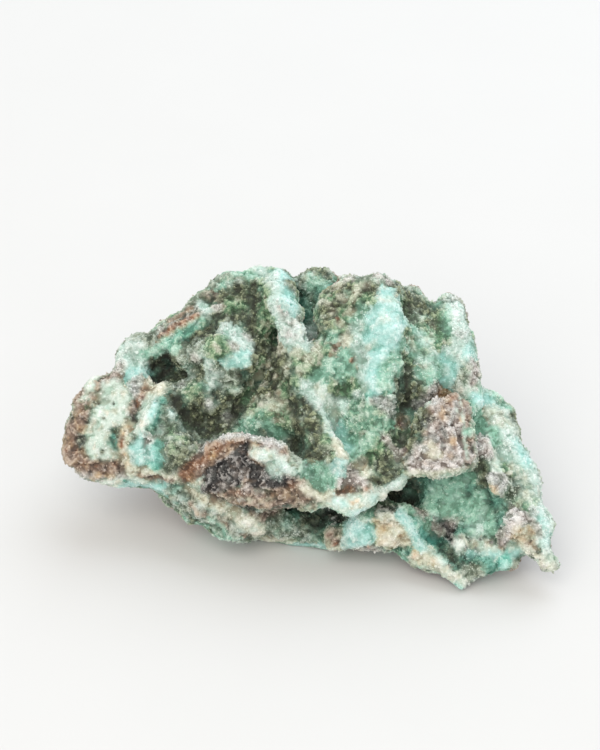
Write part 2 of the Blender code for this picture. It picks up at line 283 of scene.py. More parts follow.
@dataclass(frozen=True)
class Sight:
    """The photograph's camera, and how its pixels lie on the stone. Lengths are in millimetres."""

    aim: tuple[float, float, float] = (-1.33, 1.67, 30.6)
    elevation: float = 38.0
    distance: float = 383.0
    lens: float = 100.0
    film: float = 36.0
    picture: tuple[int, int] = (600, 750)

    @property
    def back(self) -> Vector:
        """The direction from the stone to the camera."""
        slope = math.radians(self.elevation)
        return Vector((0.0, -math.cos(slope), math.sin(slope)))

    @property
    def eye(self) -> Vector:
        """Where the camera stands."""
        return Vector(self.aim) + self.back * self.distance

    @property
    def pixel(self) -> float:
        """The width of a pixel at the stone."""
        return self.distance * self.film / self.lens / max(self.picture)

    def meet(self, stone: BVHTree, across: float, down: float) -> Vector:
        """Finds the place on the stone that a pixel shows.

        Args:
            stone: The stone's surface.
            across: The pixel's column.
            down: The pixel's row.

        Returns:
            Where the pixel's ray meets the stone, or the nearest place to it.
        """
        right, up = Vector((1.0, 0.0, 0.0)), self.back.cross(Vector((1.0, 0.0, 0.0)))
        seen = (
            Vector(self.aim)
            + right * (across - self.picture[0] / 2) * self.pixel
            + up * (self.picture[1] / 2 - down) * self.pixel
        )
        hit = stone.ray_cast(self.eye, (seen - self.eye).normalized())[0]
        return hit or stone.find_nearest(seen)[0]


@dataclass(frozen=True)
class Mark:
    """A patch of one crust, as spots on the photograph: column, row and radius in pixels.

    Its edge fades over soft millimetres on each side, and noise can push it out by margin.
    """

    crust: Crust
    spots: tuple[Spot, ...]
    soft: float
    strength: float
    apart: bool
    margin: float = 1.5

    def lay(self, stone: BVHTree, sight: Sight) -> Array:
        """Finds the spots on the stone.

        Args:
            stone: The stone's surface.
            sight: The photograph's camera.

        Returns:
            One row a spot: its place and its radius.
        """
        return np.array([(*sight.meet(stone, *spot[:2]), spot[2] * sight.pixel) for spot in self.spots])

    def cover(self, run: Array, points: Array, wobble: Array) -> tuple[Array, Array]:
        """Finds how much of the mark lies on each point near it.

        Args:
            run: The mark's spots on the stone.
            points: Places in millimetres, one a row.
            wobble: How far the mark's edge is shifted at each point, in soft widths.

        Returns:
            The indices of the points near the mark, and a share from 0 to 1 for each.
        """
        reach = run[:, 3].max() + self.soft + self.margin
        low, high = run[:, :3].min(axis=0) - reach, run[:, :3].max(axis=0) + reach
        near = np.flatnonzero(np.all((points > low) & (points < high), axis=1))
        chosen = points[near]
        outside = np.full(len(near), np.inf)
        ends = run if self.apart or len(run) == 1 else run[1:]
        for start, end in zip(run, ends):
            along = end[:3] - start[:3]
            length = max(float(along @ along), TINY)
            share = np.clip((chosen - start[:3]) @ along / length, 0.0, 1.0)
            gap = np.linalg.norm(chosen - start[:3] - share[:, None] * along, axis=1)
            outside = np.minimum(outside, gap - start[3] - share * (end[3] - start[3]))
        shifted = outside + self.soft * wobble[near]
        return near, self.strength * ramp(-shifted, -self.soft, self.soft)


def band(crust: Crust, *spots: Spot, soft: float = 0.8, strength: float = 1.0) -> Mark:
    """Marks one spot, or a band that runs from spot to spot.

    Args:
        crust: What the band is made of.
        spots: Its spots, in order.
        soft: Half the width of its faded edge in millimetres.
        strength: How much of the crust shows.

    Returns:
        The mark.
    """
    return Mark(crust, spots, soft, strength, apart=False)


def dots(crust: Crust, *spots: Spot, soft: float = 0.8, strength: float = 1.0) -> Mark:
    """Marks spots that stay apart.

    Args:
        crust: What the spots are made of.
        spots: The spots.
        soft: Half the width of their faded edge in millimetres.
        strength: How much of the crust shows.

    Returns:
        The mark.
    """
    return Mark(crust, spots, soft, strength, apart=True)


# Broken left end: brown rim, pale face, a pit filled with painted shade, rust line and mint band
LEFT_END = (
    band(Crust.MATRIX, (80, 396, 8), (84, 408, 7), (80, 420, 9), (70, 432, 9), (69, 446, 9),
         (72, 458, 9), (84, 467, 8), (102, 470, 8), (120, 467, 6)),
    band(Crust.LILAC, (84, 476, 4), (105, 480, 4), (122, 477, 3), strength=0.6),
    dots(Crust.RUST, (97, 388, 2), (93, 398, 2.5), (76, 452, 3), (72, 440, 2), (66, 450, 2),
         (83, 462, 2.5), (96, 467, 2), (114, 464, 2), soft=0.4, strength=0.8),
    dots(Crust.TAN, (82, 400, 3), (68, 438, 2), (98, 475, 4), (108, 477, 3), (80, 428, 2), soft=0.4,
         strength=0.7),
    dots(Crust.SLATE, (72, 424, 1.5), (83, 418, 1.5), (78, 440, 2), (90, 472, 1.5), (104, 468, 2),
         soft=0.3, strength=0.7),
    band(Crust.MATRIX, (97, 385, 4), (107, 377, 5), (112, 369, 4)),
    band(Crust.MINT, (112, 388, 11), (119, 398, 11), (108, 409, 11), (119, 412, 10), (102, 425, 11),
         (96, 440, 11), (97, 451, 8), (110, 454, 6)),
    dots(Crust.MINT, (84, 397, 4), (92, 376, 5), (91, 386, 4)),
    dots(Crust.OLIVE, (87, 408, 2.5), (113, 403, 1.5), (102, 452, 2), (104, 418, 1), (127, 420, 2),
         soft=0.3),
    # Painted shade in the pit
    band(Crust.PAINTED_SHADE, (115, 431, 4), (117, 441, 4), soft=0.4),
    band(Crust.TEAL, (113, 437, 3), (118, 446, 2), soft=0.4),
    band(Crust.DRUSE, (134, 383, 4), (136, 393, 4)),
    band(Crust.RUST, (149, 386, 3), (143, 395, 4), (136, 405, 4), (132, 410, 3)),
    dots(Crust.SLATE, (130, 414, 2), (133, 417, 1.5), soft=0.3),
    band(Crust.CREAM, (130, 424, 4), (125, 433, 4), (122, 445, 4), (124, 455, 4), (128, 465, 4)),
    dots(Crust.TAN, (129, 426, 2), (124, 433, 2), (121, 445, 2.5), (124, 455, 2), (127, 464, 1.5),
         soft=0.5, strength=0.9),
    band(Crust.RUST, (122, 445, 2), (123, 438, 1.5), soft=0.3),
    band(Crust.CREAM, (153, 383, 7), (160, 389, 6), (150, 395, 5)),
    band(Crust.MINT, (152, 398, 6), (147, 406, 6), (143, 420, 7), (138, 432, 6)),
    band(Crust.CYAN, (156, 403, 4), (153, 417, 4)),
    band(Crust.TEAL, (163, 400, 3), (162, 408, 3.5), (157, 418, 3), (154, 427, 2.5), soft=0.4),
    band(Crust.CYAN, (141, 436, 5), (138, 447, 8), (140, 458, 8), (151, 448, 6), (155, 460, 5)),
    dots(Crust.FOG, (134, 440, 4), (146, 455, 5), (133, 456, 4), strength=0.45),
    band(Crust.SEA, (152, 465, 5), (159, 468, 3), (154, 445, 3), strength=0.7),
    band(Crust.LILAC, (148, 441, 4), (145, 447, 2), strength=0.8),
    band(Crust.CREAM, (130, 470, 3), (150, 473, 2.5), (173, 478, 2.5)),
    band(Crust.MATRIX, (140, 476, 2.5), (158, 479, 3), (172, 482, 2.5), soft=0.4),
    band(Crust.MINT, (106, 484, 4), (118, 488, 4), (135, 494, 3)),
    band(Crust.CYAN, (126, 484, 4), (148, 487, 5), (165, 486, 4)),
    dots(Crust.TEAL, (125, 480, 2), (146, 487, 2), soft=0.3),
)

# Bead and grey-green lump beside the left end
BEAD = (
    band(Crust.FOG, (170, 410, 7), (168, 418, 6)),
    band(Crust.CYAN, (171, 414, 3), strength=0.7),
    band(Crust.FOG, (162, 432, 7), (178, 431, 8), (192, 434, 8), (186, 447, 9), (170, 447, 9),
         (178, 460, 8), (168, 467, 6)),
    band(Crust.OLIVE, (190, 434, 6), (188, 446, 7), (176, 458, 8), (166, 452, 5), strength=0.6),
    dots(Crust.MOSS, (172, 431, 5), (182, 440, 6), (172, 450, 6), strength=0.8),
    dots(Crust.FROST, (160, 430, 3), (184, 430, 3), strength=0.6),
    band(Crust.OLIVE, (185, 458, 8), (170, 470, 4), strength=0.7),
)

# Cloud, lip and cave, with painted shade in the cave
CAVE = (
    band(Crust.FOG, (134, 335, 9), (142, 328, 6), (147, 340, 8), (132, 348, 7)),
    band(Crust.FROST, (130, 333, 6), (138, 328, 4), (128, 345, 5), strength=0.8),
    band(Crust.FROST, (122, 360, 6), (137, 356, 8), (143, 368, 6), strength=0.8),
    band(Crust.LILAC, (108, 362, 3), (114, 358, 3), (106, 368, 2), strength=0.8),
    band(Crust.CYAN, (130, 374, 4), (147, 371, 3)),
    band(Crust.TURQUOISE, (145, 354, 4), (160, 353, 4), (174, 347, 4)),
    # Painted shade in the cave
    band(Crust.PAINTED_SHADE, (153, 366, 5), (159, 362, 7), (171, 358, 7), (166, 371, 6), (159, 379, 5),
         (172, 396, 5), (180, 408, 5)),
    band(Crust.OLIVE, (186, 374, 7), (170, 380, 5), strength=0.9),
    # Painted shade in the hollow beside the bowl
    band(Crust.PAINTED_SHADE, (176, 396, 4), (182, 406, 5), (183, 418, 4), (192, 425, 4), strength=0.8),
)

# Plate with a rust edge over a turquoise one, and painted shadow under it
PLATE = (
    band(Crust.FOG, (164, 325, 6), (178, 310, 8), (190, 297, 8), (197, 290, 5)),
    dots(Crust.LILAC, (160, 329, 3), (172, 314, 3), (184, 302, 3), (193, 295, 3), strength=0.8),
    band(Crust.MATRIX, (170, 322, 4), (180, 315, 4), (192, 307, 5), strength=0.9),
    band(Crust.FOG, (184, 308, 5), (192, 301, 5), strength=0.7),
    band(Crust.RUST, (161, 337, 3.5), (169, 332, 4), (178, 326, 4.5), (189, 319, 4.5), (199, 315, 3.5),
         soft=0.35),
    band(Crust.SLATE, (164, 331, 1.2), (174, 323, 1.5), (186, 315, 1.5), (198, 309, 1.2), soft=0.3,
         strength=0.6),
    band(Crust.TAN, (166, 337, 1.2), (177, 331, 1.5), (189, 324, 1.5), (199, 318, 1.2), soft=0.3,
         strength=0.8),
    band(Crust.TURQUOISE, (162, 344, 4), (177, 337, 5), (191, 328, 6), (203, 322, 5)),
    band(Crust.MOSS, (175, 341, 4), (190, 333, 5), (203, 326, 5), strength=0.5),
    # An olive band under the turquoise edge stands for the plate's shadow: painted shadow
    band(Crust.OLIVE, (186, 342, 3), (195, 337, 4), (206, 331, 4), (213, 326, 4)),
    band(Crust.SEA, (170, 341, 3), (185, 333, 4), (196, 325, 3), strength=0.4),
    band(Crust.FROST, (200, 305, 4), (207, 312, 4)),
)

# West crown
WEST_CROWN = (
    band(Crust.FOG, (216, 284, 7), (226, 278, 7), (238, 283, 7)),
    band(Crust.TURQUOISE, (233, 269, 6), (246, 272, 5), (221, 286, 4)),
    dots(Crust.MATRIX, (213, 276, 4), (207, 296, 4), (215, 296, 3), strength=0.7),
    # Painted shade in small pits
    dots(Crust.PAINTED_SHADE, (204, 297, 2.5), (211, 299, 2.5), (193, 303, 2), strength=0.7),
    band(Crust.OLIVE, (240, 289, 7), (246, 300, 6), (224, 296, 6)),
    band(Crust.MOSS, (232, 304, 8), (228, 310, 7), (243, 308, 5)),
    band(Crust.LILAC, (217, 309, 5), strength=0.6),
    band(Crust.OLIVE, (212, 317, 5), (225, 318, 6), (241, 316, 7), strength=0.8),
)

# First finger and the gap beside it
FIRST_FINGER = (
    band(Crust.OLIVE, (254, 283, 5), (256, 300, 5), (252, 322, 6), (254, 333, 5)),
    band(Crust.MOSS, (263, 280, 5), (268, 292, 6), (263, 304, 6), (268, 314, 6), (266, 328, 8),
         (272, 338, 7)),
    band(Crust.FROST, (258, 268, 4), (270, 266, 4), strength=0.8),
    band(Crust.CYAN, (281, 271, 6), (284, 286, 7), (288, 300, 6), (292, 311, 5)),
    band(Crust.FROST, (275, 276, 5), (277, 297, 4), (274, 307, 5)),
    band(Crust.FROST, (285, 318, 7), (291, 330, 8), (287, 341, 6), (298, 340, 6), (305, 345, 5)),
    dots(Crust.LILAC, (284, 315, 3), (292, 322, 3), (288, 334, 3), (296, 338, 2), strength=0.7),
    band(Crust.FROST, (312, 328, 5), (316, 338, 5), (306, 334, 4), strength=0.8),
    band(Crust.TEAL, (296, 286, 3), (301, 303, 4), (305, 316, 4), strength=0.8),
)

# Second finger
SECOND_FINGER = (
    band(Crust.OLIVE, (304, 271, 6), (312, 267, 5), (323, 274, 6)),
    band(Crust.FOG, (301, 282, 6), (310, 293, 7)),
    band(Crust.TURQUOISE, (321, 280, 6), (309, 286, 6), (322, 288, 4), strength=0.7),
    band(Crust.TEAL, (316, 292, 4), (326, 286, 3), (306, 297, 4), strength=0.5),
)

# Knob, with painted shade below it
KNOB = (
    band(Crust.MOSS, (213, 338, 8), (217, 349, 10), (224, 353, 6)),
    band(Crust.FROST, (229, 327, 5), (240, 338, 7), (248, 347, 7)),
    band(Crust.CYAN, (231, 360, 6), (241, 359, 6), (248, 352, 4), strength=0.7),
    dots(Crust.MOSS, (218, 341, 5), (226, 350, 3), (211, 352, 4)),
    dots(Crust.LILAC, (233, 346, 3), (245, 338, 3), strength=0.6),
    band(Crust.FOG, (197, 346, 6), (188, 354, 8), (198, 360, 6)),
    band(Crust.LILAC, (197, 359, 4), strength=0.6),
    band(Crust.FOG, (213, 371, 7), (226, 380, 8), (234, 377, 6)),
    band(Crust.FROST, (208, 364, 2.5), (212, 374, 3), (216, 384, 3), strength=0.8),
    band(Crust.OLIVE, (259, 346, 4), (258, 357, 5), (254, 367, 5), (247, 374, 4)),
    # Painted shade under the knob
    band(Crust.PAINTED_SHADE, (241, 373, 5), (246, 379, 6), (248, 388, 5)),
    dots(Crust.OLIVE, (199, 333, 3), (200, 366, 4), (204, 374, 3), (218, 392, 4), strength=0.9),
)

# Bowl behind the outcrop
BOWL = (
    band(Crust.OLIVE, (199, 404, 9), (190, 418, 8), (210, 422, 9), (228, 402, 9), (243, 398, 7),
         (226, 424, 7), (204, 434, 6)),
    # Painted shade in the bowl's pits
    dots(Crust.PAINTED_SHADE, (184, 414, 5), (200, 427, 6), (215, 396, 5), (222, 414, 5), (236, 408, 4),
         (206, 412, 4), strength=0.7),
    band(Crust.FOG, (184, 381, 8), (178, 388, 6), (192, 376, 6)),
    band(Crust.MOSS, (191, 390, 7), strength=0.8),
    dots(Crust.DRUSE, (181, 384, 4), (208, 405, 4), (226, 417, 4), strength=0.6),
)

# Middle slope
MIDDLE_SLOPE = (
    band(Crust.OLIVE, (262, 352, 8), (283, 360, 8), (266, 374, 8), (284, 378, 8), (262, 392, 8),
         (286, 394, 8)),
    band(Crust.MOSS, (262, 362, 4), (246, 399, 6), (253, 410, 6), (272, 418, 9), (287, 421, 6),
         (283, 384, 5)),
    dots(Crust.TURQUOISE, (262, 413, 5), (250, 424, 5), (268, 424, 5), strength=0.8),
    dots(Crust.CREAM, (262, 404, 5), (272, 408, 4), (283, 402, 3), (257, 373, 3), (281, 352, 3),
         strength=0.6),
    # Painted shade in small pits
    dots(Crust.PAINTED_SHADE, (255, 388, 3), (272, 385, 3), (276, 366, 3), (290, 388, 3), (244, 412, 3),
         (262, 432, 3), (264, 399, 2.5), (291, 371, 2.5), (256, 360, 2.5), strength=0.8),
    dots(Crust.CREAM, (268, 366, 2.5), (275, 376, 2.5), (263, 384, 2.5), (286, 369, 2), (279, 393, 2.5),
         (254, 399, 2.5), (289, 409, 2), (268, 396, 2), (250, 384, 2), soft=0.4, strength=0.8),
    band(Crust.OLIVE, (294, 400, 5), (296, 415, 6), (299, 432, 6), (296, 441, 4)),
    # Painted shade down a groove
    band(Crust.PAINTED_SHADE, (293, 408, 3), (298, 428, 3), strength=0.7),
    band(Crust.MOSS, (298, 358, 8), (311, 366, 8), (300, 379, 7), (322, 352, 6), strength=0.8),
    dots(Crust.CREAM, (296, 352, 4), (308, 360, 5), (318, 352, 4), (300, 372, 3), strength=0.6),
    band(Crust.TURQUOISE, (326, 374, 6), (330, 363, 5), (315, 379, 4), strength=0.9),
)

# Middle rib and its foot
MIDDLE_RIB = (
    band(Crust.OLIVE, (306, 402, 6), (309, 418, 7), (316, 432, 7), (316, 447, 8), (325, 453, 6),
         (309, 455, 5)),
    # Painted shade at the rib's foot
    band(Crust.PAINTED_SHADE, (303, 430, 4), (304, 442, 5), (308, 452, 4), (316, 441, 3), strength=0.6),
    band(Crust.FROST, (306, 386, 5), (313, 391, 8), (322, 401, 9), (328, 413, 7), (331, 425, 5),
         (335, 436, 4)),
    band(Crust.MINT, (318, 388, 4), (327, 401, 4), (332, 412, 3), strength=0.8),
    band(Crust.CREAM, (336, 443, 3.5), (341, 453, 3.5)),
    band(Crust.CYAN, (342, 463, 3), (338, 475, 3)),
    dots(Crust.MOSS, (324, 440, 4), (330, 456, 4), (310, 440, 3), strength=0.8),
    band(Crust.GLASS, (308, 470, 6), (324, 471, 8), (318, 482, 6), (332, 478, 5), strength=0.8),
)

# Broad ridge: granular crown, bright face and mossy lower slope
BROAD_RIDGE = (
    band(Crust.OLIVE, (338, 290, 8), (355, 289, 8), (372, 289, 7), (358, 301, 8), (342, 305, 9),
         (328, 308, 8), (334, 322, 9), (345, 330, 7)),
    dots(Crust.MOSS, (352, 299, 7), (340, 326, 8), (344, 313, 7), (366, 297, 5), (330, 296, 6),
         (356, 286, 4)),
    dots(Crust.TURQUOISE, (352, 318, 4), (336, 334, 4), (346, 292, 3), (360, 306, 4), strength=0.6),
    dots(Crust.CREAM, (338, 286, 4), (350, 312, 4), (332, 312, 3), (346, 338, 4), (356, 292, 3),
         (344, 298, 4), (328, 304, 3), (340, 324, 3), (366, 286, 3), strength=0.7),
    # Painted shade in two pits
    dots(Crust.PAINTED_SHADE, (367, 288, 3), (318, 330, 4), strength=0.7),
    band(Crust.FOG, (355, 278, 4), (373, 276, 4), (385, 277, 4), (392, 276, 3)),
    dots(Crust.LILAC, (349, 279, 2.5), (378, 275, 3), (388, 279, 2), (393, 274, 3)),
    band(Crust.CYAN, (386, 292, 6), (392, 303, 7), (384, 310, 9), (374, 318, 8), (398, 313, 6),
         (389, 326, 10), (377, 335, 10), (367, 338, 7), (391, 343, 9), (402, 323, 4), (381, 352, 8),
         (372, 365, 8), (368, 378, 7), (375, 391, 6)),
    dots(Crust.MINT, (390, 300, 4), (385, 318, 5), (372, 345, 4), (398, 318, 3), (366, 384, 3),
         strength=0.7),
    dots(Crust.SEA, (366, 337, 3), (380, 349, 4), (384, 372, 4), (371, 394, 4), strength=0.5),
    band(Crust.FROST, (356, 328, 5), (359, 342, 5), (361, 355, 5), (366, 366, 4), strength=0.7),
    band(Crust.TURQUOISE, (388, 365, 7), (385, 385, 7), (394, 355, 5)),
    band(Crust.GLASS, (342, 354, 6), (346, 365, 6), (342, 378, 4)),
    band(Crust.MOSS, (352, 384, 8), (346, 393, 6), (334, 388, 5)),
    dots(Crust.RUST, (351, 360, 2), (335, 350, 1.5), (401, 423, 3), (337, 318, 1.5), soft=0.3),
    dots(Crust.FROST, (358, 396, 5), (346, 403, 4), (356, 412, 4), (369, 416, 4), (362, 375, 3),
         strength=0.8),
    band(Crust.MOSS, (358, 410, 10), (376, 420, 12), (356, 432, 12), (386, 440, 10), (372, 452, 10)),
    band(Crust.TURQUOISE, (358, 408, 8), (372, 414, 8), (352, 425, 8), (368, 428, 7), strength=0.6),
    band(Crust.GLASS, (348, 440, 8), (362, 440, 9), (354, 455, 8), (378, 430, 6), (385, 420, 5),
         strength=0.7),
    band(Crust.CYAN, (344, 432, 5), (348, 447, 5), strength=0.6),
    band(Crust.DRUSE, (382, 404, 6), (390, 411, 4), (376, 398, 3), strength=0.6),
)

# Lumps behind, third and fourth ridge
BACK_RIDGES = (
    # Olive lumps behind; the last, thin spot is a painted shadow line
    band(Crust.OLIVE, (404, 290, 7), (414, 297, 7), (424, 307, 6), (410, 308, 6), (432, 313, 3)),
    dots(Crust.FOG, (408, 288, 4), (418, 300, 4), (414, 311, 3), (413, 321, 5), strength=0.7),
    band(Crust.TURQUOISE, (415, 331, 7), (425, 341, 9), (417, 352, 8), (431, 360, 7), (405, 345, 5)),
    band(Crust.FROST, (418, 334, 5), (430, 350, 6), (420, 358, 5), (434, 364, 4), strength=0.6),
    dots(Crust.MOSS, (420, 326, 4), (413, 338, 4), (424, 350, 5), (413, 362, 5), (434, 345, 3),
         strength=0.7),
    dots(Crust.CREAM, (428, 338, 3), (414, 346, 3), (424, 368, 3), strength=0.5),
    band(Crust.TURQUOISE, (421, 370, 5), (431, 374, 5), (438, 366, 4), strength=0.8),
    band(Crust.OLIVE, (407, 372, 5), (406, 388, 6), (404, 400, 5), (414, 386, 6), (420, 394, 5)),
    # Painted shade down the valley
    band(Crust.PAINTED_SHADE, (404, 380, 3), (403, 397, 3), (408, 404, 3), strength=0.7),
    band(Crust.MOSS, (437, 313, 5), (438, 327, 6), (440, 338, 4)),
    band(Crust.OLIVE, (435, 312, 4), (436, 322, 4), strength=0.7),
    band(Crust.GLASS, (446, 314, 4), (446, 328, 4), strength=0.6),
    band(Crust.FROST, (456, 306, 6), (459, 322, 8), (463, 338, 8), (458, 350, 6)),
    dots(Crust.DRUSE, (453, 299, 4), (462, 334, 3), strength=0.6),
    band(Crust.CYAN, (445, 357, 6), (453, 366, 7), (450, 380, 6), (469, 350, 5), strength=0.8),
    dots(Crust.FROST, (448, 352, 3), (456, 358, 3), (447, 371, 3), strength=0.7),
    band(Crust.FOG, (463, 374, 4), (460, 384, 4)),
    band(Crust.LILAC, (474, 363, 4), (476, 373, 5), (473, 382, 4)),
    band(Crust.MINT, (463, 391, 4), (471, 392, 5), (479, 391, 4)),
)

# Block
BLOCK = (
    band(Crust.TURQUOISE, (475, 398, 5), (477, 412, 5), (478, 428, 5), (477, 440, 4)),
    band(Crust.MATRIX, (434, 398, 12), (452, 405, 14), (436, 425, 16), (456, 430, 14), (438, 450, 16),
         (456, 450, 14), (418, 460, 8)),
    band(Crust.LILAC, (440, 398, 9), (452, 408, 9), (438, 415, 10), (456, 425, 9), (440, 432, 10),
         (427, 420, 7), (455, 446, 10), (438, 456, 10), (422, 452, 8), (414, 464, 6), (436, 465, 7),
         (458, 460, 7), soft=0.35),
    band(Crust.MATRIX, (464, 405, 5), (467, 420, 5), (469, 435, 5), (470, 450, 5), (468, 461, 4)),
    dots(Crust.LILAC, (465, 410, 3), (468, 430, 3), (469, 455, 4)),
    band(Crust.DRUSE, (428, 396, 4), (434, 391, 4), (420, 403, 4)),
    band(Crust.DRUSE, (457, 402, 2), (454, 413, 2), (450, 424, 1.5), soft=0.35, strength=0.8),
    band(Crust.DRUSE, (427, 404, 2), (438, 420, 2), (446, 436, 2), (452, 450, 2), soft=0.35,
         strength=0.8),
    dots(Crust.TAN, (441, 396, 5), (448, 400, 4), (444, 412, 5), (452, 441, 5), (461, 421, 3),
         strength=0.8),
    dots(Crust.RUST, (452, 396, 3), (430, 412, 3), (450, 404, 2), (437, 424, 2), (455, 449, 2),
         strength=0.8),
    band(Crust.OLIVE, (419, 410, 4), (424, 420, 7), (412, 432, 8), (408, 445, 8), (400, 440, 4)),
    # Painted shade on the block's left face
    dots(Crust.PAINTED_SHADE, (426, 413, 3), (424, 427, 4), (417, 436, 4), (410, 438, 4), (405, 447, 3),
         strength=0.8),
    dots(Crust.SLATE, (428, 420, 3), (441, 430, 2), (447, 415, 2), (436, 441, 3), (459, 436, 2),
         (444, 448, 2), (430, 463, 2), soft=0.35, strength=0.8),
    dots(Crust.DRUSE, (431, 436, 3), (424, 424, 2), (412, 458, 3), strength=0.8),
    band(Crust.CREAM, (431, 447, 5), (438, 454, 5), (429, 455, 4), strength=0.9),
    dots(Crust.DRUSE, (434, 403, 3), (428, 401, 2), (443, 446, 3), (436, 440, 2), (453, 460, 3),
         (425, 449, 3), (421, 459, 2.5), soft=0.4, strength=0.8),
    dots(Crust.MINT, (427, 404, 2), (457, 411, 2.5), (467, 445, 2), soft=0.3),
    band(Crust.MINT, (461, 402, 1.2), (463, 420, 1.2), (465, 440, 1.2), (467, 458, 1.2), soft=0.3),
    dots(Crust.MATRIX, (449, 456, 4), (425, 463, 3), (404, 452, 4), strength=0.7),
    band(Crust.LILAC, (413, 469, 3), (435, 469, 3), (460, 465, 3), soft=0.5),
    band(Crust.CREAM, (413, 472, 2), (435, 472, 2), (460, 468, 2), soft=0.4, strength=0.8),
    band(Crust.LILAC, (401, 452, 4), (389, 442, 4), (384, 438, 3), strength=0.8),
    band(Crust.OLIVE, (388, 458, 6), (378, 468, 6), (391, 474, 7), (380, 482, 5), (371, 478, 4)),
)

# Right lobe
RIGHT_LOBE = (
    band(Crust.FROST, (490, 395, 12), (500, 415, 14), (512, 440, 14), (520, 460, 14), (532, 490, 14),
         strength=0.6),
    band(Crust.TURQUOISE, (489, 389, 6), (497, 393, 6), (505, 405, 6)),
    band(Crust.CYAN, (475, 396, 5), (481, 401, 7), (489, 397, 4)),
    band(Crust.TURQUOISE, (472, 410, 5), (480, 423, 7), (470, 430, 4)),
    band(Crust.CREAM, (490, 411, 5), (501, 415, 6), (499, 424, 5), (509, 425, 5), strength=0.45),
    dots(Crust.OLIVE, (501, 401, 3), (509, 405, 3), (514, 415, 3), (519, 428, 2), (501, 414, 2),
         strength=0.7),
    band(Crust.GLASS, (494, 430, 6), (498, 441, 6), (494, 443, 4)),
    band(Crust.FROST, (508, 434, 7), (513, 445, 7), (505, 452, 5)),
    band(Crust.CYAN, (521, 441, 5), (524, 455, 6), (530, 464, 5)),
    band(Crust.LILAC, (478, 437, 6), (484, 444, 7), (489, 452, 6), (477, 448, 5)),
    dots(Crust.DRUSE, (480, 446, 4), (485, 436, 3), (492, 456, 4), strength=0.8),
    band(Crust.SLATE, (472, 450, 2.5), (472, 444, 2), soft=0.4),
    band(Crust.MINT, (497, 456, 4), (495, 464, 3), strength=0.8),
    band(Crust.OLIVE, (480, 464, 6), (485, 474, 5), (482, 483, 3)),
    band(Crust.DRUSE, (494, 476, 6), (500, 484, 6), (505, 478, 4)),
    band(Crust.TAN, (492, 488, 3), strength=0.8),
    band(Crust.FOG, (512, 484, 7), (519, 489, 5), (512, 494, 5)),
    dots(Crust.MOSS, (505, 466, 5), (519, 473, 5), (530, 485, 4), (535, 497, 5), (521, 503, 5),
         strength=0.6),
    dots(Crust.CREAM, (512, 468, 4), (526, 478, 4), (541, 497, 4), (527, 495, 4), strength=0.6),
    band(Crust.FROST, (536, 480, 5), (546, 497, 5), (543, 508, 5), strength=0.8),
    band(Crust.FROST, (537, 512, 6), (546, 517, 6), (546, 535, 6), (547, 548, 5), (540, 541, 4)),
    band(Crust.CYAN, (538, 514, 4), (545, 522, 4), (547, 536, 4), (546, 546, 3), strength=0.6),
    dots(Crust.LILAC, (532, 520, 2), (537, 528, 2.5), (541, 535, 2), (535, 512, 2), strength=0.7),
    band(Crust.LILAC, (514, 511, 6), (523, 517, 7), (511, 523, 6), (508, 534, 5), (503, 543, 4)),
    dots(Crust.DRUSE, (517, 517, 4), (509, 516, 3), (522, 512, 3), strength=0.8),
    band(Crust.CREAM, (518, 531, 5), (527, 534, 5), (521, 541, 4), strength=0.8),
    dots(Crust.TAN, (519, 531, 3), (514, 536, 3), (523, 539, 2.5), (532, 531, 3), strength=0.8),
    dots(Crust.MATRIX, (530, 543, 4), (535, 548, 3), (501, 548, 3), strength=0.8),
)

# Glassy scoop under the block, with painted shade in the gap between them
SCOOP = (
    band(Crust.GLASS, (436, 484, 9), (452, 480, 9), (466, 478, 6), (452, 498, 12), (434, 503, 9),
         (466, 508, 10), (484, 514, 9), (490, 526, 7), (470, 528, 7), (478, 497, 9)),
    band(Crust.TURQUOISE, (453, 484, 7), (453, 497, 6), (464, 506, 6), strength=0.7),
    dots(Crust.TEAL, (428, 482, 5), (422, 497, 5), (470, 489, 4), (489, 492, 4), (494, 503, 4),
         (499, 524, 4), strength=0.6),
    # Painted shade in the gap under the block
    band(Crust.PAINTED_SHADE, (410, 477, 5), (405, 488, 6), (396, 498, 5), (386, 506, 4)),
    band(Crust.PAINTED_SHADE, (416, 488, 4), (413, 501, 3), strength=0.7),
    dots(Crust.LILAC, (419, 513, 2.5), (422, 519, 2), strength=0.7),
    band(Crust.SLATE, (444, 526, 4), (452, 530, 6), (447, 537, 5), (452, 543, 3)),
    dots(Crust.LILAC, (441, 530, 3), (450, 524, 2), strength=0.7),
    band(Crust.TEAL, (466, 527, 3), (459, 532, 3), strength=0.7),
    band(Crust.FROST, (479, 528, 4), (474, 533, 2)),
)
